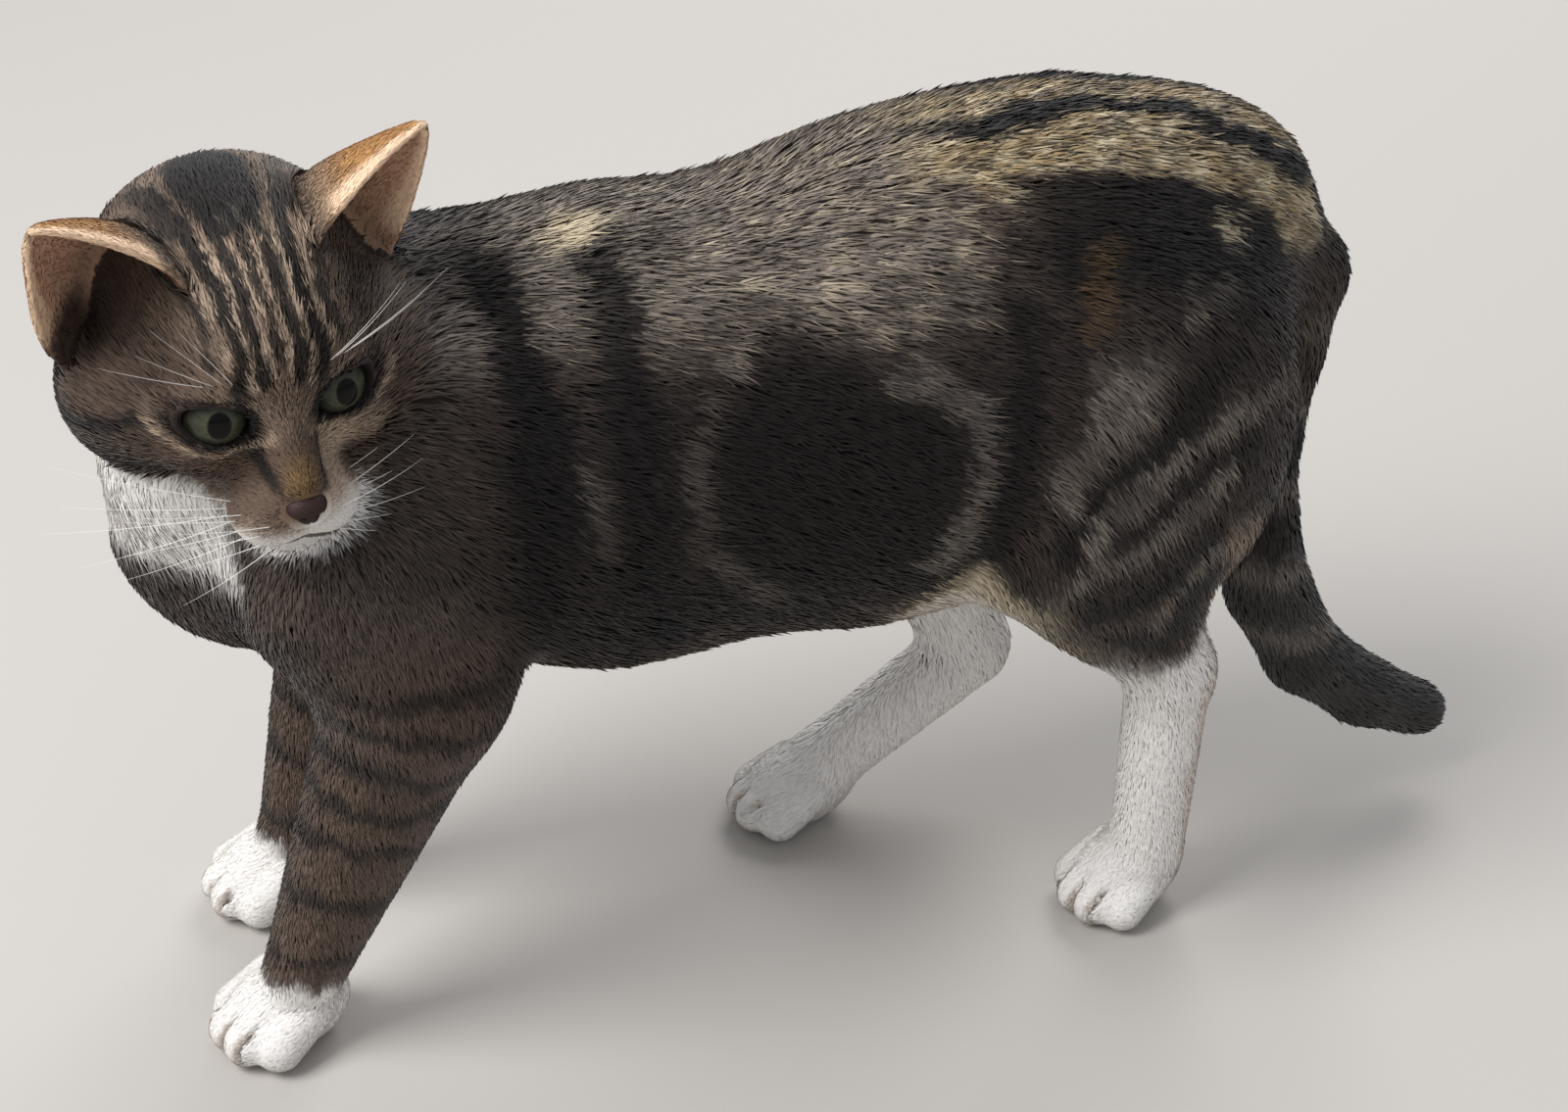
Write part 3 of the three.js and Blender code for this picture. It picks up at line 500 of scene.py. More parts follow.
def earsAt(points):  # for each point: which ear (0 none), s, t, and whether it is on the hollow side
    local = toHead(points)
    which = np.zeros(len(points), int)
    hollow = np.zeros(len(points), bool)
    st = np.zeros((len(points), 2))
    lie = np.zeros((len(points), 3))
    for n, ear in enumerate(ears.values(), 1):
        net = earSheet(ear, *np.meshgrid(np.linspace(0, 1, 7), np.linspace(0, 1, 8))).reshape(-1, 3)
        near = np.flatnonzero(np.min([((local - p) ** 2).sum(1) for p in net], 0) < 11 ** 2)
        if not len(near):
            continue
        s, t, d = nearestOnEar(ear, local[near])
        spot = earSheet(ear, s, t)
        across = earSheet(ear, np.clip(s + 0.01, 0, 1), t) - earSheet(ear, np.clip(s - 0.01, 0, 1), t)
        upward = earSheet(ear, s, np.minimum(t + 0.01, 1)) - earSheet(ear, s, t - 0.01)
        out = unit(np.cross(across, upward)) * -ear["side"]
        inward = ((local[near] - spot) * out).sum(1) > 0
        on = (d < 2.6) & (t > np.where(inward, -0.2, 0))
        which[near[on]] = n
        st[near[on]] = np.stack([s, t], 1)[on]
        hollow[near[on]] = inward[on]
        lie[near[on]] = unit(upward[on]) @ headAxes.T
    return which, st, hollow, lie


lattice = np.random.default_rng(3).random((3, 48, 48, 48))


def grain(points, size, seed=0):  # smooth noise in 0..1, with lumps of this size in mm
    q = points / size + 100 + seed * 7.3
    base = np.floor(q).astype(int)
    t = q - base
    t = t * t * (3 - 2 * t)
    value = 0
    for i in (0, 1):
        for j in (0, 1):
            for k in (0, 1):
                w = np.abs(1 - i - t[:, 0]) * np.abs(1 - j - t[:, 1]) * np.abs(1 - k - t[:, 2])
                cell = (base + [i, j, k]) % 48
                value = value + w * lattice[seed % 3, cell[:, 0], cell[:, 1], cell[:, 2]]
    return value


def waver(points, size, first=0):  # three grains at once, to bend the edges of markings
    return np.stack([grain(points, size, first + n) for n in range(3)], 1) - 0.5


tones = {name: linear(code) for name, code in {
    "ground": "#574a42", "groundWarm": "#5f4d41", "ticked": "#82776e", "dark": "#120e0c",
    "brown": "#2e2521",
    "gold": "#a48d67", "cream": "#cdbd9f", "white": "#f3efea", "face": "#665345", "beige": "#8d7a68",
    # canal: painted shade, the dark of the ear holes
    # earIn: the ear's own pink beige inside, lifted paler as painted light shining through the thin ear
    "ochre": "#80643f", "earBack": "#b3834f", "earRim": "#f0cfae", "earIn": "#c3997c", "canal": "#2b1b16",
    "pale": "#bda68f", "lid": "#1a1210", "lip": "#3a2622", "grey": "#7f756c",
}.items()}


def along(points, path, width):  # 1 on a line through the path's places, 0 beyond its width, eased
    closest = np.full(len(points), 1e9)
    for a, b in zip(path, path[1:]):
        a, b = np.array(a, float), np.array(b, float)
        t = np.clip((points - a) @ (b - a) / ((b - a) @ (b - a)), 0, 1)
        closest = np.minimum(closest, np.linalg.norm(points - a - t[:, None] * (b - a), axis=1))
    return 1 - step(width * 0.35, width * 0.75, closest)


def spot(points, at, radii, soft=0.35):
    r = np.linalg.norm((points - at) / radii, axis=1)
    return 1 - step(1 - soft, 1 + soft, r)


flankMarks = [  # tone, strength, width, places on the flank as y and z
    ("dark", 0.95, 15, [(-98, 255), (-93, 226), (-96, 150)]),
    ("dark", 0.9, 13, [(-66, 252), (-67, 220), (-66, 170), (-56, 140)]),
    ("grey", 0.4, 6, [(-82, 208), (-79, 184)]),
    ("grey", 0.36, 7, [(-44, 220), (-52, 208), (-53, 193), (-46, 176), (-26, 151)]),
    ("grey", 0.75, 9, [(15, 222), (26, 214), (35, 200), (36, 186), (28, 170), (19, 160)]),
    ("dark", 0.9, 12, [(48, 230), (46, 208), (43, 178), (36, 150)]),
    ("grey", 0.8, 19, [(88, 230), (79, 207)]),
    ("grey", 0.8, 12, [(79, 207), (70, 192), (61, 177)]),
    ("dark", 0.9, 10, [(112, 214), (94, 195), (78, 178), (62, 164)]),
    ("grey", 0.85, 8, [(135, 203), (101, 189), (83, 175), (72, 166)]),
    ("dark", 0.8, 8, [(124, 184), (104, 176), (86, 164)]),
    ("grey", 0.8, 7, [(116, 176), (101, 166), (80, 157), (60, 151), (49, 143)]),
    ("dark", 0.85, 9, [(116, 158), (96, 146), (72, 138)]),
    ("grey", 0.75, 7, [(112, 150), (97, 134), (86, 121)]),
    ("dark", 0.85, 9, [(114, 140), (100, 124), (82, 126)]),
]
faceMarks = [  # tone, strength, width, places on the head in its own axes, on both sides
    ("beige", 0.45, 26.0, [(6, 8, 10), (7, -4, 31), (9, -24, 38)]),
    ("pale", 0.9, 3.0, [(8.5, 9, 10), (8, 2, 26), (8.5, -8, 33), (9.5, -19, 37),
     (16, -38, 37), (22, -58, 31)]),
    ("pale", 0.8, 2.4, [(2.8, 9, 14), (3.2, 3, 26), (3, -9, 34), (4, -21, 38)]),
    ("pale", 0.6, 2.8, [(15, 4, 18), (15.2, -7, 30), (19, -24, 35), (26, -44, 31)]),
    ("dark", 0.95, 4.4, [(11, 8, 8), (11, 4, 21), (11.7, -5, 30), (12.6, -18, 36),
     (14, -32, 38), (18, -56, 34)]),
    ("dark", 0.92, 4.0, [(5.4, 10, 11), (6, 6, 20), (6, 0, 28), (5.6, -10, 34), (6, -20, 38),
     (6, -34, 40)]),
    ("dark", 0.8, 2.8, [(0, 10, 15), (0, 4, 25), (0, -5, 32), (0, -20, 38), (0, -34, 40)]),
    ("dark", 0.8, 3.8, [(18, 2, 17), (18, -5, 27), (22, -20, 33), (27, -34, 32)]),
    ("dark", 0.85, 7.5, [(17, -34, 37), (19, -46, 35), (21, -58, 31)]),
    ("dark", 0.95, 5.2, [(24, -2, -6), (30, -4, -5), (37, -5, -3), (44, -9, -8),
     (50, -17, -14), (53, -30, -19)]),
    ("dark", 0.55, 5.0, [(25, 6, -13), (35, 0, -19), (43, -12, -25), (49, -26, -29)]),
    ("dark", 0.9, 4.6, [(9.5, 9, -5), (10, 12, -11), (9, 17, -13.5), (8, 24, -15),
     (6.8, 28, -19), (6, 30, -23)]),
]
legBands = {"height": (150, 134, 118, 103, 87, 67, 40), "width": (7, 5, 7, 6, 6, 6, 5)}


def mix(colour, tone, amount):
    amount = np.clip(amount, 0, 1)[:, None]
    return colour * (1 - amount) + tones[tone] * amount


def bodyMarksAndShade(points):
    warp = 10 * waver(points, 16) + 5 * waver(points, 5, 3)
    p = points + warp
    x, y, z = np.abs(p[:, 0]), p[:, 1], p[:, 2]
    flank = np.stack([y, z], 1)
    broken = step(0.2, 0.65, grain(points, 9, 1))  # pale marks come and go
    colour = np.repeat(tones["ground"][None], len(points), 0)
    colour = mix(colour, "brown", 0.85 * step(125, 145, z) * (1 - step(222, 246, z)) * step(-125, -105, y))
    colour = mix(colour, "dark", 0.55 * step(-112, -96, y) * (1 - step(10, 60, y)) * step(130, 150, z)
                 * (1 - step(206, 232, z)))
    colour = mix(colour, "ticked", 0.9 * step(224, 246, z) * (1 - step(20, 50, y)))
    fleck = step(0.6, 0.74, grain(points, 3.4, 2)) * step(228, 246, z)
    colour = mix(colour, "cream", 0.5 * fleck * step(-60, -30, y) * (1 - step(30, 60, y)))
    colour = mix(colour, "brown", 0.6 * step(0.58, 0.7, grain(points, 5, 4)) * step(226, 240, z))
    colour = mix(colour, "dark", 0.85 * spot(p, (0, -122, 240), (30, 36, 30)))
    side = step(6, 26, x)
    middle = np.hypot(y + 9, (z - 191) / 1.1)  # the dark heart of the whorl
    colour = mix(colour, "dark", 0.75 * side * (1 - step(28, 42, middle)))
    for tone, strength, width, path in flankMarks:
        amount = strength * side * along(flank, path, width)
        colour = mix(colour, tone, amount * (0.45 + 0.55 * broken if tone == "grey" else 1))
    colour = mix(colour, "ticked", 0.6 * spot(flank, (-33, 228), (5, 4)) * side)
    # rump: a dark line along the spine, a speckled gold band on each side of it, a dark saddle below
    outward = np.abs(p[:, 0] - np.interp(y, [0, 30, 58, 100, 130], [4, 10, 12.5, 13, 16]))
    rump = step(12, 44, y) * step(232, 246, z + 0.1 * (y - 60))
    colour = mix(colour, "brown", 0.9 * step(36, 66, y) * step(205, 222, z) * (1 - step(244, 256, z)))
    saddle = step(40, 66, y) * step(230, 244, z + 0.2 * (y - 60)) * step(18, 23, outward)
    colour = mix(colour, "dark", 0.92 * saddle)
    colour = mix(colour, "ochre", 0.22 * side * along(flank, [(73, 244), (69, 228)], 9))
    colour = mix(colour, "grey", 0.5 * side * broken * spot(flank, (106, 230), (9, 7)))
    speck = grain(points, 2.3, 5)
    band = rump * step(3.5, 5.5, outward) * (1 - step(17, 21, outward))
    colour = mix(colour, "gold", 0.85 * band)
    colour = mix(colour, "cream", 0.95 * band * step(0.4, 0.55, speck))
    colour = mix(colour, "brown", 0.8 * band * step(0.6, 0.72, grain(points, 2.8, 1)))
    colour = mix(colour, "dark", 0.95 * rump * (1 - step(3.0, 5.2, outward)))
    colour = mix(colour, "cream", 0.8 * side * step(0.45, 0.6, speck) * spot(p, (41, 120, 242), (4, 7, 4)))
    colour = mix(colour, "cream", 0.95 * spot(p, (12, -72, 256), (8, 10, 9)))
    # painted shade: the neck just behind the head is darkened
    colour = mix(colour, "dark", 0.5 * step(-168, -150, y) * (1 - step(-122, -106, y)) * step(170, 190, z))
    # shoulders and forelegs: grey brown with dark bands
    fore = (1 - step(150, 172, z)) * (1 - step(-112, -92, y))
    colour = mix(colour, "groundWarm", 0.85 * fore)
    tilt = z + 0.22 * (y + 150) - 0.1 * (x - 40)
    for height, width in zip(legBands["height"], legBands["width"]):
        colour = mix(colour, "dark", 0.85 * fore * np.exp(-((tilt - height) / width * 1.7) ** 2))
    chest = (1 - step(-168, -140, y)) * (1 - step(200, 220, z)) * step(118, 138, z)
    colour = mix(colour, "ground", 0.5 * chest)
    rings = np.exp(-((z - 168) / 6) ** 2) + np.exp(-((z - 192) / 5) ** 2)
    colour = mix(colour, "dark", 0.45 * chest * rings)
    # white: belly's edge, fold of the flank, socks, hind legs, bib
    under = step(-100, -80, y) * (1 - step(56, 80, y))
    colour = mix(colour, "cream", 0.75 * under * (1 - step(114, 128, z)))
    colour = mix(colour, "white", 0.75 * (1 - step(104, 118, z)) * step(-96, -76, y))
    colour = mix(colour, "cream", 0.9 * side * spot(flank, (36, 133), (22, 18)))
    colour = mix(colour, "white", 0.6 * side * spot(flank, (36, 126), (20, 16)))
    socks = (1 - step(27, 34, z + 0.1 * (y + 160))) * (1 - step(-100, -80, y))
    colour = mix(colour, "white", socks)
    hind = step(-20, -4, y)
    edge = 106 + 0.75 * np.maximum(y - 98, 0) + 0.1 * np.maximum(90 - y, 0)
    edge = np.where(points[:, 0] > 0, edge, 118)
    colour = mix(colour, "white", 0.98 * hind * (1 - step(-6, 6, z - edge)) * (1 - step(136, 148, y)))
    tuft = step(114, 122, y) * (1 - step(133, 142, y)) * (1 - step(150, 166, z)) * step(24, 38, x)
    colour = mix(colour, "pale", 0.45 * tuft)
    bib = 1 - step(-177, -169, points[:, 1] + 0.3 * warp[:, 1])
    bib = bib * step(172, 182, points[:, 2] + 0.2 * warp[:, 2]) * (1 - step(218, 236, z))
    colour = mix(colour, "white", 0.97 * bib)
    # painted shade: the clefts between the toes are darkened towards beige, as shade in the creases
    clefts = np.min([distance(f, points) for n, f in folds.items() if "Cleft" in n], 0)
    colour = mix(colour, "pale", 0.5 * (1 - step(-0.3, 0.4, clefts)))
    return colour


def tailMarks(points, colour):
    p = points + 5 * waver(points, 7)
    onTail = step(133, 143, p[:, 1]) * (1 - step(212, 228, p[:, 2]))
    colour = mix(colour, "dark", 0.95 * onTail)
    for height in (196, 168, 138, 108, 81):
        ring = np.exp(-((p[:, 2] - height) / 5) ** 2)
        colour = mix(colour, "grey", 0.6 * onTail * ring * step(72, 78, p[:, 2]))
    colour = mix(colour, "ground", 0.6 * onTail * step(165, 178, p[:, 2]) * step(10, 18, points[:, 0]))
    return colour


def headMarksAndShading(points):
    local = toHead(points)
    warp = 2.6 * waver(points, 6) + waver(points, 2.2, 3)
    p = local + warp * step(0, 18, np.linalg.norm(local - [0, 20, -10], axis=1))[:, None]
    m = mirrored(p)
    u, v, w = m.T
    colour = np.repeat(tones["face"][None], len(points), 0)
    colour = mix(colour, "groundWarm", 0.8 * step(20, 40, u))
    colour = mix(colour, "beige", 0.3 * step(14, 24, w) * (1 - step(20, 34, u)))
    colour = mix(colour, "brown", 0.35 * step(0.5, 0.7, grain(points, 4, 2)) * step(14, 26, u))
    colour = mix(colour, "brown", 0.3 * step(18, 34, u))
    for tone, strength, width, path in faceMarks:
        colour = mix(colour, tone, strength * along(m, path, width))
    colour = mix(colour, "dark", 0.98 * spot(m, (0, -50, 37), (14, 25, 16), 0.14))
    colour = mix(colour, "grey", 0.35 * along(m, [(2.5, -30, 40), (3.5, -50, 38)], 2.0))
    colour = mix(colour, "ochre", 0.75 * spot(m, (0, 26, -12), (5, 8, 6.5), 0.5))
    # pale patches beside the nose and along the cheek on the head's left (+x) side only: partly the face's
    # own cream, partly painted light on the side the light falls on
    colour = mix(colour, "pale", 0.85 * along(p, [(12.5, 12, -14), (15, 20, -18), (12, 27, -22)], 11))
    colour = mix(colour, "pale", 0.6 * along(p, [(15, 10, -13), (28, 4, -15)], 9))
    whiteEdge = np.interp(v, [-40, -5, 5, 14, 21, 30], [-47, -39, -36, -32, -27.5, -26])
    whiteEdge += np.interp(v, [0, 14, 30], [0, 4, 4]) * step(-4, 6, local[:, 0])
    colour = mix(colour, "pale", 0.7 * (1 - step(-3, 5, w - whiteEdge)))
    colour = mix(colour, "white", 0.9 * (1 - step(-5, 2.5, w - whiteEdge)))
    q = (mirrored(local) - lidAt) @ lidAxes / placing["eye"]["opening"]
    rim = np.linalg.norm(q[:, [0, 2]], axis=1)
    nearEye = step(-0.9, -0.55, q[:, 1])
    below = 0.12 + 0.7 * (1 - step(-0.7, 0.1, q[:, 2]))
    colour = mix(colour, "pale", below * nearEye * np.exp(-((rim - 1.58) / 0.13) ** 2))
    colour = mix(colour, "lid", nearEye * (1 - step(1.2, 1.38, rim)))
    # painted shade: a dark spot at the outer base of the right ear, the shade of its ear hole, and
    # darkening close round each ear canal
    colour = mix(colour, "canal", 0.9 * spot(local, (-46, -38, 7), (8, 9, 10), 0.5))
    colour = mix(colour, "canal", 0.6 * (1 - step(1, 7, fromCanal(points))))
    lips = np.minimum(*(distance(folds[n], points) for n in ("lips", "mouthCorner")))
    colour = mix(colour, "lip", 0.9 * (1 - step(0.3, 1.2, lips)))
    return colour


def earMarksAndShading(colour, which, st, hollow):
    s, t = st.T
    on = which > 0
    rim = np.maximum(step(0.9, 0.97, s), 1 - step(0.03, 0.1, s)) + step(0.9, 0.97, t)
    # the hollow side takes earIn, lifted paler as painted light shining through the ear
    tone = np.where(hollow[:, None], tones["earIn"], tones["earBack"])
    tone = mix(tone, "beige", 0.5 * hollow * (1 - step(-0.05, 0.2, t)))
    # painted shade: the dark of the ear hole at the low outer corner of the right ear's hollow
    tone = mix(tone, "canal", 0.9 * hollow * (which == 2) * spot(st, (0.93, -0.05), (0.14, 0.17), 0.5))
    tone = mix(tone, "beige", 0.8 * ~hollow * (1 - step(0.1, 0.5, t)))
    tone = mix(tone, "earRim", np.clip(rim, 0, 1) * step(0.1, 0.25, t))
    fade = (on * np.where(hollow, step(-0.2, -0.08, t), step(0.02, 0.16, t)))[:, None]
    return colour * (1 - fade) + tone * fade


def paint(points):
    share, lie, sizes = coatAt(points)
    which, st, hollow, earLie = earsAt(points)
    points = np.where(which[:, None] > 0, points, settle(field, points, sizes[:, 0], 1))
    colour = tailMarks(points, bodyMarksAndShade(points))
    isHead = step(0.35, 0.65, shareOf(share, "crown", "cheek", "face", "muzzle"))[:, None]
    colour = colour * (1 - isHead) + headMarksAndShading(points) * isHead
    colour = earMarksAndShading(colour, which, st, hollow)
    return colour, share, lie, sizes, which, st, hollow, earLie


def material(name):
    made = bpy.data.materials.new(name)
    made.use_nodes = True
    made.node_tree.nodes.clear()
    return made


def node(made, kind, settings=None, links=None):  # a node, its settings, and what feeds its sockets
    new = made.node_tree.nodes.new(kind)
    for key, value in (settings or {}).items():
        if isinstance(key, str) and hasattr(new, key):
            setattr(new, key, value)
        else:
            new.inputs[key].default_value = value
    for key, output in (links or {}).items():
        made.node_tree.links.new(output, new.inputs[key])
    return new


def finishMaterial(made, shader):
    node(made, "ShaderNodeOutputMaterial", None, {"Surface": shader.outputs[0]})
    return made


def furMaterial(name, roughness, bumpSize, bumpDepth):
    # hair keratin: a soft broad shine, colour from the markings with their painted shade, no gloss
    made = material(name)
    colour = node(made, "ShaderNodeAttribute", {"attribute_name": "markings_and_shade"})
    links = {"Base Color": colour.outputs["Color"]}
    if bumpDepth:
        place = node(made, "ShaderNodeTexCoord")
        hairs = node(made, "ShaderNodeTexNoise", {"Scale": 1000 / bumpSize, "Detail": 2.0},
                     {"Vector": place.outputs["Object"]})
        bump = node(made, "ShaderNodeBump", {"Strength": 0.6, "Distance": bumpDepth / 1000},
                    {"Height": hairs.outputs[0]})
        links["Normal"] = bump.outputs[0]
    shader = node(made, "ShaderNodeBsdfPrincipled", {
        "Roughness": roughness, "IOR": 1.45, "Specular IOR Level": 0.25, "Sheen Weight": 0.12,
        "Sheen Roughness": 0.5}, links)
    return finishMaterial(made, shader)


skinMaterial = furMaterial("close_underfur_on_skin", 0.85, 1.1, 0.5)
tuftMaterial = furMaterial("cat_guard_hair", 0.62, 0, 0)


def meshOf(name, points, faces, finish, colours=None, attribute="markings_and_shade", smooth=True):
    mesh = bpy.data.meshes.new(name)
    corners = faces.shape[1]
    mesh.vertices.add(len(points))
    mesh.vertices.foreach_set("co", metres(points).astype(np.float32).ravel())
    mesh.loops.add(faces.size)
    mesh.loops.foreach_set("vertex_index", faces.astype(np.int32).ravel())
    mesh.polygons.add(len(faces))
    mesh.polygons.foreach_set("loop_start", (np.arange(len(faces)) * corners).astype(np.int32))
    mesh.update(calc_edges=True)
    mesh.validate()
    if smooth:
        mesh.shade_smooth()
    if colours is not None:
        layer = mesh.color_attributes.new(attribute, "FLOAT_COLOR", "POINT")
        rgba = np.ones((len(points), 4), np.float32)
        rgba[:, :3] = colours
        layer.data.foreach_set("color", rgba.ravel())
    mesh.materials.append(finish)
    thing = bpy.data.objects.new(name, mesh)
    bpy.context.scene.collection.objects.link(thing)
    return thing


skinColours, _, _, skinSizes, *skinEars = paint(skinPoints)
# painted shade: where the coat over it is deep, the skin is darkened to 0.8, except where its colour is
# pale and on the ears
under = np.maximum(1 - step(1.2, 3.5, skinSizes[:, 0]), np.clip(skinColours.mean(1) * 2, 0, 1))
under = 0.8 + 0.2 * under
under = np.where(skinEars[0] > 0, 1.0, under)
skin = meshOf("skin", skinPoints, skinQuads, skinMaterial, skinColours * under[:, None])
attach(skin, "root")
flesh = ["head", "neck", "shoulder_left", "chest", "belly", "hips", "thigh_left", "thigh_right",
         "shank_left", "shank_right", "hindpaw_left", "hindpaw_right", "forearm_left", "forearm_right",
         "forepaw_left", "forepaw_right", "tail_upper", "tail_middle", "tail_tip", "ear_left",
         "ear_right"]
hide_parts(*flesh)
say("skin")

tuftForm = {
    "count": 335000,
    "pieces": 8,
    "stray": 0.012,  # share of tufts that stand out of the coat
    "splay": 0.16,  # how far a tuft's way may turn from the lie
    "middle": 0.42,  # share of its length where its two edges stand
    "sunk": 0.5,  # how deep its root is in the skin
    "onEar": {"depth": 0.45, "length": 3.6, "width": 0.5},
    "chart": 0.003,  # size of its patch in the map for baking
}


def layCoat():
    corners = skinPoints[skinQuads]
    cross = np.cross(corners[:, 2] - corners[:, 0], corners[:, 3] - corners[:, 1])
    area = np.linalg.norm(cross, axis=1) / 2
    centre = corners.mean(1)
    low = centre[:, 2] > 1.6  # no coat on the soles
    sizes = skinSizes[skinQuads].mean(1)
    onEar = skinEars[0][skinQuads[:, 0]] > 0
    hollowEar = onEar & skinEars[2][skinQuads[:, 0]]
    local = toHead(centre)
    local[:, 0] = np.abs(local[:, 0])
    eyeHole = np.linalg.norm((local - lidAt) @ lidAxes / placing["eye"]["opening"], axis=1) < 1.16
    noseSpot = np.linalg.norm((local - [0, 25.5, -22.3]) / [7.4, 6.5, 5.6], axis=1) < 1
    want = area / (sizes[:, 1] * sizes[:, 2]) * low * ~eyeHole * ~noseSpot
    want = np.where(onEar, area / 2.6 * np.where(hollowEar, 0.25, 1), want)
    chance = np.cumsum(want / want.sum())
    pick = np.minimum(np.searchsorted(chance, rng.random(tuftForm["count"])), len(area) - 1)
    a, b = rng.random((2, len(pick), 1))
    c = corners[pick]
    roots = (c[:, 0] * (1 - a) + c[:, 1] * a) * (1 - b) + (c[:, 3] * (1 - a) + c[:, 2] * a) * b
    return roots, unit(cross[pick])


roots, skinFacing = layCoat()
tuftColours, tuftShare, lie, sizes, which, st, hollow, earLie = paint(roots)
_, slope = readField(field, roots)
out = unit(slope)
onEar = which > 0
depth, length, width = sizes.T
fromEar = step(3, 13, fromCanal(roots))  # the coat is close round the ear's root
depth = np.where(onEar, tuftForm["onEar"]["depth"], depth * (0.2 + 0.8 * fromEar))
length = np.where(onEar, tuftForm["onEar"]["length"], length * (0.4 + 0.6 * fromEar))
width = np.where(onEar, tuftForm["onEar"]["width"], width)
way = np.where(onEar[:, None], earLie, lie)
way = unit(way - (way * out).sum(1, keepdims=True) * out)
side = np.cross(out, way)
way = unit(way + side * (tuftForm["splay"] * rng.normal(size=len(roots)))[:, None])
side = np.cross(out, way)
length = length * rng.uniform(0.7, 1.25, len(roots))
width = width * rng.uniform(0.75, 1.2, len(roots))
stray = rng.random(len(roots)) < tuftForm["stray"]
tall = depth * np.where(stray, rng.uniform(1.0, 1.25, len(roots)), rng.uniform(0.6, 1.0, len(roots)))
tall *= np.clip(1.25 - tuftColours.mean(1), 0.55, 1)  # white coat lies closer
tall = np.where(roots[:, 2] < 8, np.minimum(tall, 0.5), tall)


# a tuft is a thin closed wedge: a root, two edges near its middle and a tip, lifted from the
# skin by tall (1 - (1 - s)^2) at its share s of the length, so that it follows the skin's own curve
def lifted(share, sideways):
    place = roots + way * (length * share)[:, None] + side * (width * sideways)[:, None]
    return settle(field, place, tall * (1 - (1 - share) ** 2), 2)


tuftPoints = np.stack([roots - tuftForm["sunk"] * out, lifted(tuftForm["middle"], 0.5),
                       lifted(tuftForm["middle"], -0.5), lifted(1.0, 0)], 1)
tuftPoints[..., 2] = np.maximum(tuftPoints[..., 2], 0.15)
tuftFaces = np.array([(0, 2, 1), (1, 2, 3), (0, 1, 3), (0, 3, 2)])
pale = np.clip((tuftColours.mean(1) - 0.25) / 0.4, 0, 1)  # near 1 on white
lean = (0.36 - 0.2 * pale)[:, None]
# the slope of the skin under each corner, leant apart at the edges and forward at the tip
slopes = [unit(readField(field, tuftPoints[:, n])[1]) for n in range(4)]
tuftNormals = unit(np.stack([out, slopes[1] + lean * side, slopes[2] - lean * side,
                             slopes[3] + 0.25 * way], 1))
say(f"{len(roots)} tufts")

# ticked hairs: some tufts are darker or paler than the marking they stand in
tick = rng.random(len(roots))
shade = rng.normal(1.0, 0.04 + 0.10 * (1 - pale), len(roots))
shade *= np.where(tick < 0.2 * (1 - pale), 0.7, 1.0)
tuftColours = tuftColours * np.clip(shade, 0.4, 1.7)[:, None]
ticked = (tick > 0.8) & (tuftColours.mean(1) > 0.05) & (roots[:, 2] > 225) & (roots[:, 1] > -100) & ~onEar
# painted shade and light: each tuft's root is darker (rootShade, less on pale coat), as shade down in the
# coat, and its tip a little lighter; ticked tufts get cream tips instead
tipColour = np.where(ticked[:, None], tuftColours * 0.55 + 0.45 * tones["cream"], tuftColours * 1.08)
rootShade = (0.7 + 0.3 * pale)[:, None]
colours = np.stack([tuftColours * rootShade, tuftColours * 0.97, tuftColours * 0.97, tipColour], 1)


# charts of the skin's own shape: round each length of the body and along it, the ears by s and t
def chartOf(points, share, which, st, hollow):
    local = toHead(points)
    isHead = shareOf(share, "crown", "cheek", "face", "muzzle") > 0.5
    isTail = shareOf(share, "tail") > 0.5
    isLeg = shareOf(share, "leg", "paw", "upperLeg") > 0.5
    x, y, z = points.T
    u = (np.arctan2(x, z - 190) / (2 * math.pi) + 0.5) * 0.56 + 0.02
    v = np.clip((y + 200) / 370, 0, 1) * 0.46 + 0.52
    q = local - [0, -20, 0]
    far = np.maximum(np.linalg.norm(q, axis=1), 1)
    u = np.where(isHead, 0.62 + 0.36 * (np.arctan2(q[:, 0], q[:, 1]) / (2 * math.pi) + 0.5), u)
    v = np.where(isHead, 0.52 + 0.46 * (np.arcsin(np.clip(q[:, 2] / far, -1, 1)) / math.pi + 0.5), v)
    for n, leg in enumerate(legs.values()):
        mine = isLeg & (np.sign(x) == np.sign(leg["paw"][0])) & ((y < -60) == ("elbow" in leg))
        foot = np.array(leg["paw"], float)
        knee = np.array((leg.get("elbow") or leg["shin"])[:2], float)
        rise = np.clip(z / 130, 0, 1)[:, None]
        axis = foot * (1 - rise) + knee * rise
        angle = np.arctan2(x - axis[:, 0], y - axis[:, 1]) / (2 * math.pi) + 0.5
        u = np.where(mine, 0.02 + 0.15 * n + 0.13 * angle, u)
        v = np.where(mine, 0.02 + 0.44 * np.clip(z / 180, 0, 1), v)
    isTail &= ~isHead
    tailY = np.interp(z, [30, 42, 62, 90, 120, 150, 180, 230], [226, 203, 179, 164, 156, 154, 159, 138])
    u = np.where(isTail, 0.63 + 0.12 * (np.arctan2(x - 8, y - tailY + 0.01) / (2 * math.pi) + 0.5), u)
    v = np.where(isTail, 0.02 + 0.44 * np.clip((z + 30 + 0.4 * (y - 160)) / 290, 0, 1), v)
    onEar = which > 0
    tile = (which - 1) * 2 + hollow
    u = np.where(onEar, 0.78 + 0.1 * (tile % 2) + 0.09 * st[:, 0], u)
    v = np.where(onEar, 0.02 + 0.24 * (tile // 2) + 0.2 * st[:, 1], v)
    return np.stack([u, v], 1)


chart = chartOf(roots, tuftShare, which, st, hollow)
patchOf = np.array([(0, 0.5), (0.4, 1), (0.4, 0), (1, 0.5)]) * tuftForm["chart"]
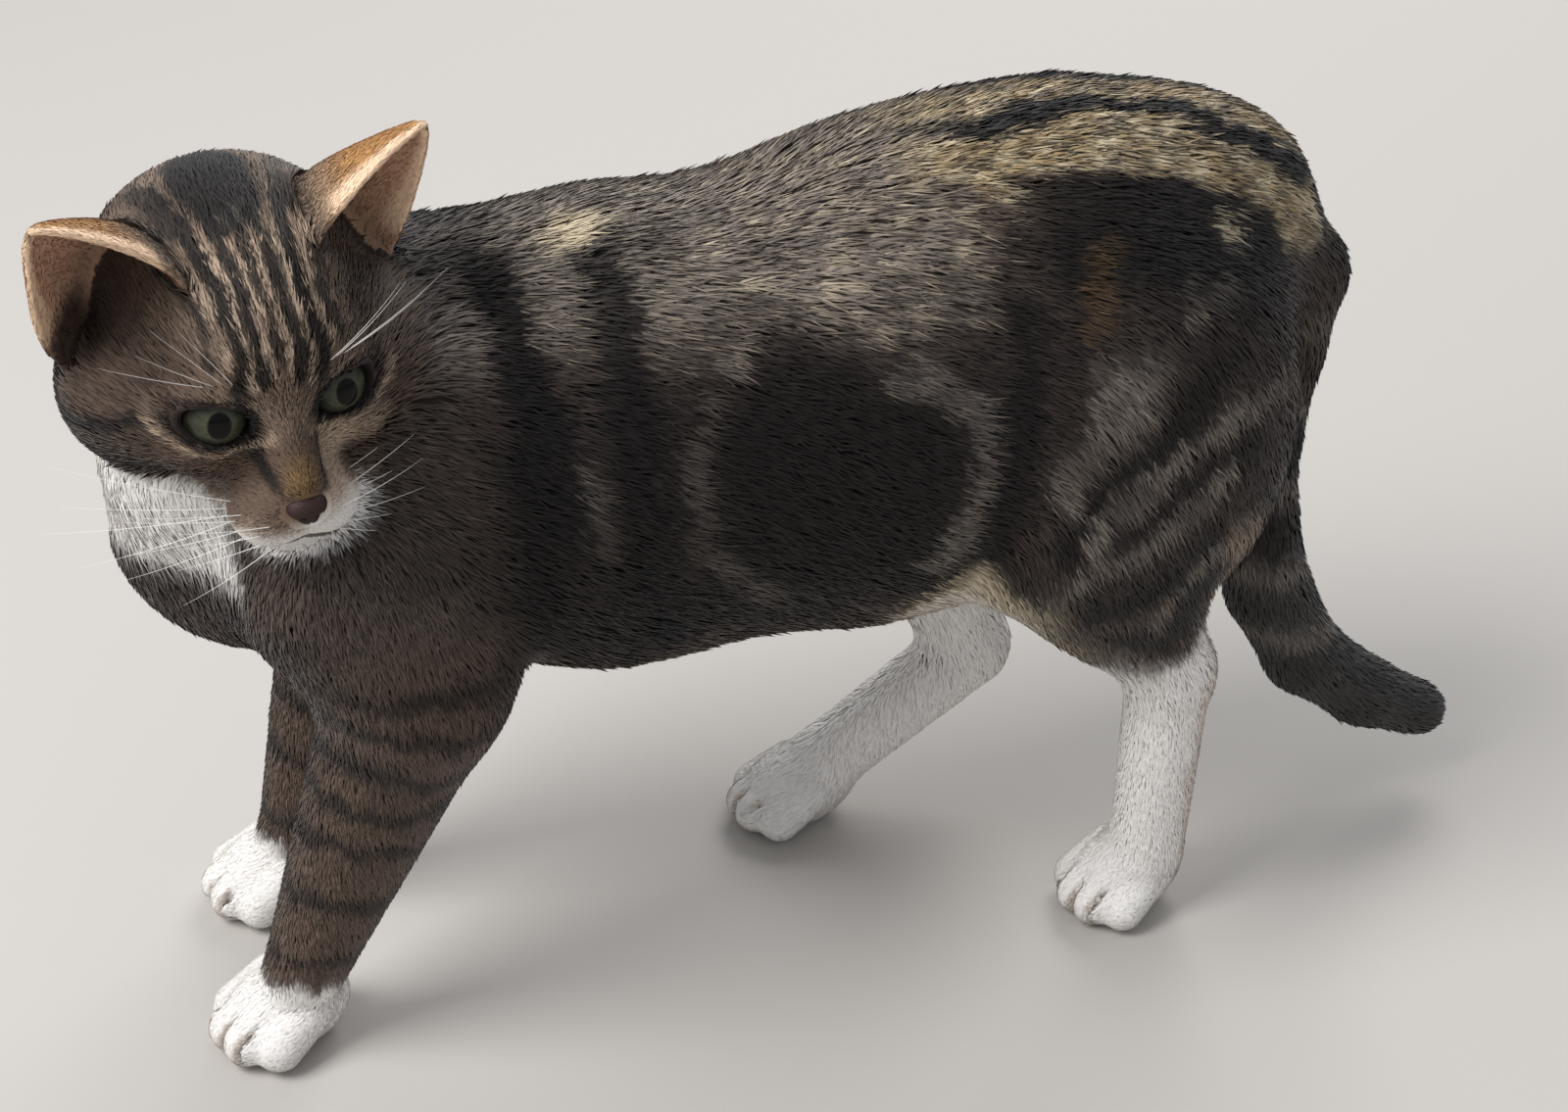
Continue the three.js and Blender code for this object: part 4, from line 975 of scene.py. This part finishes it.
# a tuft that a crease folds over is left out
facing = unit(np.cross(tuftPoints[:, 2] - tuftPoints[:, 1], tuftPoints[:, 3] - tuftPoints[:, 1]))
span = np.linalg.norm(tuftPoints[:, 3] - tuftPoints[:, 0], axis=1)
sound = ((facing * out).sum(1) > 0.5) & (span < 1.3 * length) & (span > 0.5 * length)
sound &= ((skinFacing * out).sum(1) > 0.7) & ((slopes[3] * out).sum(1) > 0.2)
order = np.argsort(np.round(roots[:, 1] / 60) * 1000 + roots[:, 2])  # pieces lie near together
order = order[sound[order]]
say(f"{len(order)} tufts kept")
for n, members in enumerate(np.array_split(order, tuftForm["pieces"])):
    points = tuftPoints[members].reshape(-1, 3)
    faces = (tuftFaces[None] + 4 * np.arange(len(members))[:, None, None]).reshape(-1, 3)
    piece = meshOf(f"coat_{n + 1}", points, faces, tuftMaterial, colours[members].reshape(-1, 3))
    uv = (chart[members][:, None] + patchOf[None]).reshape(-1, 2)
    layer = piece.data.uv_layers.new(name="OFBake")
    corner = np.zeros(len(piece.data.loops), np.int32)
    piece.data.loops.foreach_get("vertex_index", corner)
    layer.data.foreach_set("uv", uv[corner].astype(np.float32).ravel())
    cornerNormals = tuftNormals[members][:, tuftFaces]
    cornerNormals[:, 2:] *= -1  # the two lower faces look the other way
    piece.data.normals_split_custom_set(cornerNormals.reshape(-1, 3))
    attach(piece, "root")
say("coat")

eyeForm = {
    "gaze": {"left": (10, 20), "right": (10, 20)},  # degrees outward and up from the head's own ahead
    "iris": 8.4, "pupil": (3.5, 4.4),  # iris radius, half width and height of the pupil
    "inside": 0.25,  # how far the ball stands inside its lids
    "rings": 90, "spokes": 96,
    # iris tones: a grey green iris, made darker than its own colour as painted shade from the lids
    "irisInner": "#484939", "irisOuter": "#33342b", "white": "#201814", "pupilTone": "#050404",
}


def eyeMaterial():
    # wet cornea over a flecked iris: a sharp small highlight over green grey
    made = material("wet_eye")
    colour = node(made, "ShaderNodeAttribute", {"attribute_name": "iris"})
    shader = node(made, "ShaderNodeBsdfPrincipled", {
        "Roughness": 0.6, "IOR": 1.38, "Specular IOR Level": 0.0, "Coat Weight": 0.5,
        "Coat Roughness": 0.02, "Coat IOR": 1.38},
        {"Base Color": colour.outputs["Color"]})
    return finishMaterial(made, shader)


def ballNet(rings, spokes):  # the quads between the rings of a ball
    i, j = np.meshgrid(np.arange(rings - 1), np.arange(spokes), indexing="ij")
    k = (j + 1) % spokes
    corners = [i * spokes + j, i * spokes + k, (i + 1) * spokes + k, (i + 1) * spokes + j]
    return np.stack(corners, -1).reshape(-1, 4)


# a ball of rings round the line of sight, with iris and pupil painted by their distance from it
def addEye(name, sign):
    e = placing["eye"]
    out, up = (math.radians(d) for d in eyeForm["gaze"][name])
    look = np.array([sign * math.sin(out) * math.cos(up), math.cos(out) * math.cos(up), math.sin(up)])
    across = unit(np.cross(look, [0, 0, 1]))
    high = np.cross(across, look)
    a = np.linspace(0.004, math.pi - 0.004, eyeForm["rings"])[:, None]
    b = np.linspace(0, 2 * math.pi, eyeForm["spokes"], endpoint=False)[None]
    r = e["radius"] - eyeForm["inside"]
    centre = np.array(e["at"], float) * [sign, 1, 1]
    sx, sy = np.sin(a) * np.cos(b), np.sin(a) * np.sin(b)
    local = (centre + (r * sx)[..., None] * across + (r * sy)[..., None] * high
             + (r * np.cos(a) * np.ones_like(b))[..., None] * look)
    x, y = r * sx, r * sy
    ahead = (np.cos(a) > 0) * np.ones_like(b)
    radius = np.hypot(x, y)
    spokes = [np.cos(b) * 9 + 0 * a, np.sin(b) * 9 + 0 * a, radius * 0.35]
    fleck = grain(np.stack(spokes, -1).reshape(-1, 3), 1.1).reshape(radius.shape)[..., None]
    blend = step(3, 8, radius)[..., None]
    tone = linear(eyeForm["irisInner"]) * (1 - blend) + linear(eyeForm["irisOuter"]) * blend
    tone = tone * (0.75 + 0.5 * fleck)
    tone = tone * (1 - 0.65 * step(6.9, eyeForm["iris"], radius)[..., None])
    outer = step(eyeForm["iris"], eyeForm["iris"] + 0.5, radius)[..., None]
    outer = np.where(ahead[..., None] > 0, outer, 1)
    tone = tone * (1 - outer) + linear(eyeForm["white"]) * outer
    slit = np.hypot(x / eyeForm["pupil"][0], y / eyeForm["pupil"][1])
    hole = ((1 - step(0.93, 1.07, slit)) * ahead)[..., None]
    tone = tone * (1 - hole) + linear(eyeForm["pupilTone"]) * hole
    faces = ballNet(eyeForm["rings"], eyeForm["spokes"])
    made = meshOf(f"eyeball_{name}", fromHead(local.reshape(-1, 3)), faces, eyeFinish,
                  tone.reshape(-1, 3), "iris")
    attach(made, "root")
    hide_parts(f"eye_{name}")


eyeFinish = eyeMaterial()
addEye("left", 1)
addEye("right", -1)
say("eyes")

noseForm = {"at": (0, 24.7, -22.3), "radii": (6.6, 5.2, 4.8), "tone": "#2e1b16", "rings": 48, "spokes": 72}


def noseMaterial():
    # bare skin, moist: fine pebbling and a soft shine on dark brown red
    made = material("nose_leather")
    place = node(made, "ShaderNodeTexCoord")
    pebbles = node(made, "ShaderNodeTexVoronoi", {"Scale": 1600.0}, {"Vector": place.outputs["Object"]})
    bump = node(made, "ShaderNodeBump", {"Strength": 0.35, "Distance": 0.0002},
                {"Height": pebbles.outputs[0]})
    tone = (*linear(noseForm["tone"]), 1)
    shader = node(made, "ShaderNodeBsdfPrincipled", {"Base Color": tone, "Roughness": 0.55, "IOR": 1.36},
                  {"Normal": bump.outputs[0]})
    return finishMaterial(made, shader)


# a ball narrowed downward, with a groove down its middle and two comma nostrils sunk in
def addNose():
    a = np.linspace(0.01, math.pi - 0.01, noseForm["rings"])[:, None]
    b = np.linspace(0, 2 * math.pi, noseForm["spokes"], endpoint=False)[None]
    x, y, z = np.sin(a) * np.cos(b), np.cos(a) + 0 * b, np.sin(a) * np.sin(b)
    narrow = 0.62 + 0.38 * step(-0.9, 0.5, z)
    aside = np.abs(x) - 0.5
    nostril = np.exp(-((aside / 0.24) ** 2 + ((z + 0.12 + 0.5 * aside) / 0.2) ** 2)) * (y > 0)
    groove = np.exp(-(x / 0.1) ** 2) * (y > 0) * (1 - step(-0.3, 0.5, z))
    r = 1 - 0.42 * nostril - 0.12 * groove
    local = np.stack([x * narrow * r, y * r, z * r], -1) * noseForm["radii"] + noseForm["at"]
    faces = np.roll(ballNet(noseForm["rings"], noseForm["spokes"]), -1, 1)
    made = meshOf("nose_leather", fromHead(local.reshape(-1, 3)), faces, noseMaterial())
    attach(made, "root")
    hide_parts("nose")


addNose()

whiskerForm = {"rows": 4, "perRow": 3, "length": 50, "radius": 0.17, "brow": 4, "tone": "#f4f1ea"}


def whiskerMaterial():
    # thick white hair: smooth, slightly shiny
    made = material("white_whisker")
    tone = (*linear(whiskerForm["tone"]), 1)
    shader = node(made, "ShaderNodeBsdfPrincipled", {"Base Color": tone, "Roughness": 0.4, "IOR": 1.55})
    return finishMaterial(made, shader)


# path(t) = root + L (way t + droop t^2), tapering as 1 - 0.85 t
def addWhiskers():
    roots, ways, lengths = [], [], []
    for sign in (1, -1):
        for row in range(whiskerForm["rows"]):
            for place in range(whiskerForm["perRow"]):
                roots.append((sign * (9 + 4.2 * place), 25 - 6.5 * place, -26.5 - 2.8 * row))
                ways.append((sign * 1.0, 0.05 - 0.14 * place, 0.32 - 0.26 * row))
                lengths.append(whiskerForm["length"] * (0.6 + 0.2 * place))
        for place in range(whiskerForm["brow"]):
            roots.append((sign * (13 + 2.4 * place), 4 - 1.0 * place, 12))
            ways.append((sign * (0.45 + 0.1 * place), 0.25, 0.75))
            lengths.append(whiskerForm["length"] * 0.8)
    roots, ways = np.array(roots), unit(ways) + rng.normal(0, 0.05, (len(roots), 3))
    lengths = np.array(lengths) * rng.uniform(0.85, 1.1, len(roots))
    t = np.linspace(0, 1, 9)
    droop = np.array([0, -0.22, -0.14])
    path = (roots[:, None] + lengths[:, None, None] * (unit(ways)[:, None] * t[None, :, None]
            + droop * (t ** 2)[None, :, None]))
    ring = np.array([(math.cos(x), math.sin(x)) for x in (0, 2.094, 4.189)])
    across = unit(np.cross(ways, [0, 0, 1.0]))
    high = unit(np.cross(across, ways))
    thick = whiskerForm["radius"] * (1 - 0.85 * t)[None, :, None, None]
    tube = path[:, :, None] + thick * (ring[None, None, :, :1] * across[:, None, None]
                                       + ring[None, None, :, 1:] * high[:, None, None])
    count, steps = tube.shape[:2]
    number = np.arange(count * steps * 3).reshape(count, steps, 3)
    a, b = number[:, :-1], number[:, 1:]
    faces = np.stack([a, np.roll(a, -1, 2), np.roll(b, -1, 2), b], -1).reshape(-1, 4)
    made = meshOf("whiskers", fromHead(tube.reshape(-1, 3)), faces, whiskerMaterial())
    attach(made, "root")


addWhiskers()
say("nose and whiskers")

studio = {
    "floor": "#b9b4ae", "floorHalf": 6000, "world": "#d9dde4", "worldPower": 0.72,
    "focal": 2950, "across": 1600,  # focal length and width of the frame, in the same units
    "distance": 900, "target": (0, 0, 127), "way": (0.811, -0.248, 0.530),  # where the camera stands
    "lampTarget": (0, 0, 150),
    "lamps": {"key": ((300, -1300, 1700), 42, 1.1), "back": ((-1300, 900, 1500), 22, 1.2)},
}
floorFinish = material("pale_floor")
floorShader = node(floorFinish, "ShaderNodeBsdfPrincipled",
                   {"Base Color": (*linear(studio["floor"]), 1), "Roughness": 0.8})
finishMaterial(floorFinish, floorShader)
square = studio["floorHalf"] * np.array([(-1, -1, 0), (1, -1, 0), (1, 1, 0), (-1, 1, 0)], float)
floor = meshOf("floor", square, np.array([[0, 1, 2, 3]]), floorFinish, smooth=False)
world = bpy.data.worlds.new("studio")
bpy.context.scene.world = world
world.use_nodes = True
sky = world.node_tree.nodes["Background"]
sky.inputs["Color"].default_value = (*linear(studio["world"]), 1)
sky.inputs["Strength"].default_value = studio["worldPower"]


def aimed(place, target):  # turned so that its own -Z looks from place to target
    return Vector(metres(target) - metres(place)).to_track_quat("-Z", "Y").to_euler()


def addLight(name, place, target, power, size):
    lamp = bpy.data.lights.new(name, "AREA")
    lamp.energy, lamp.size = power, size
    thing = bpy.data.objects.new(name, lamp)
    thing.location = metres(place)
    thing.rotation_euler = aimed(place, target)
    bpy.context.scene.collection.objects.link(thing)


for name, (place, power, size) in studio["lamps"].items():
    addLight(name, place, studio["lampTarget"], power, size)
camera = bpy.data.cameras.new("camera")
eyePoint = np.array(studio["target"]) + studio["distance"] * unit(studio["way"])
cameraObject = bpy.data.objects.new("camera", camera)
camera.lens = studio["focal"] / studio["across"] * camera.sensor_width
camera.clip_start, camera.clip_end = 0.01, 100
cameraObject.location = metres(eyePoint)
cameraObject.rotation_euler = aimed(eyePoint, studio["target"])
bpy.context.scene.collection.objects.link(cameraObject)
bpy.context.scene.camera = cameraObject
bpy.context.scene.view_settings.view_transform = "Standard"

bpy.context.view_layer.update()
say("scene")
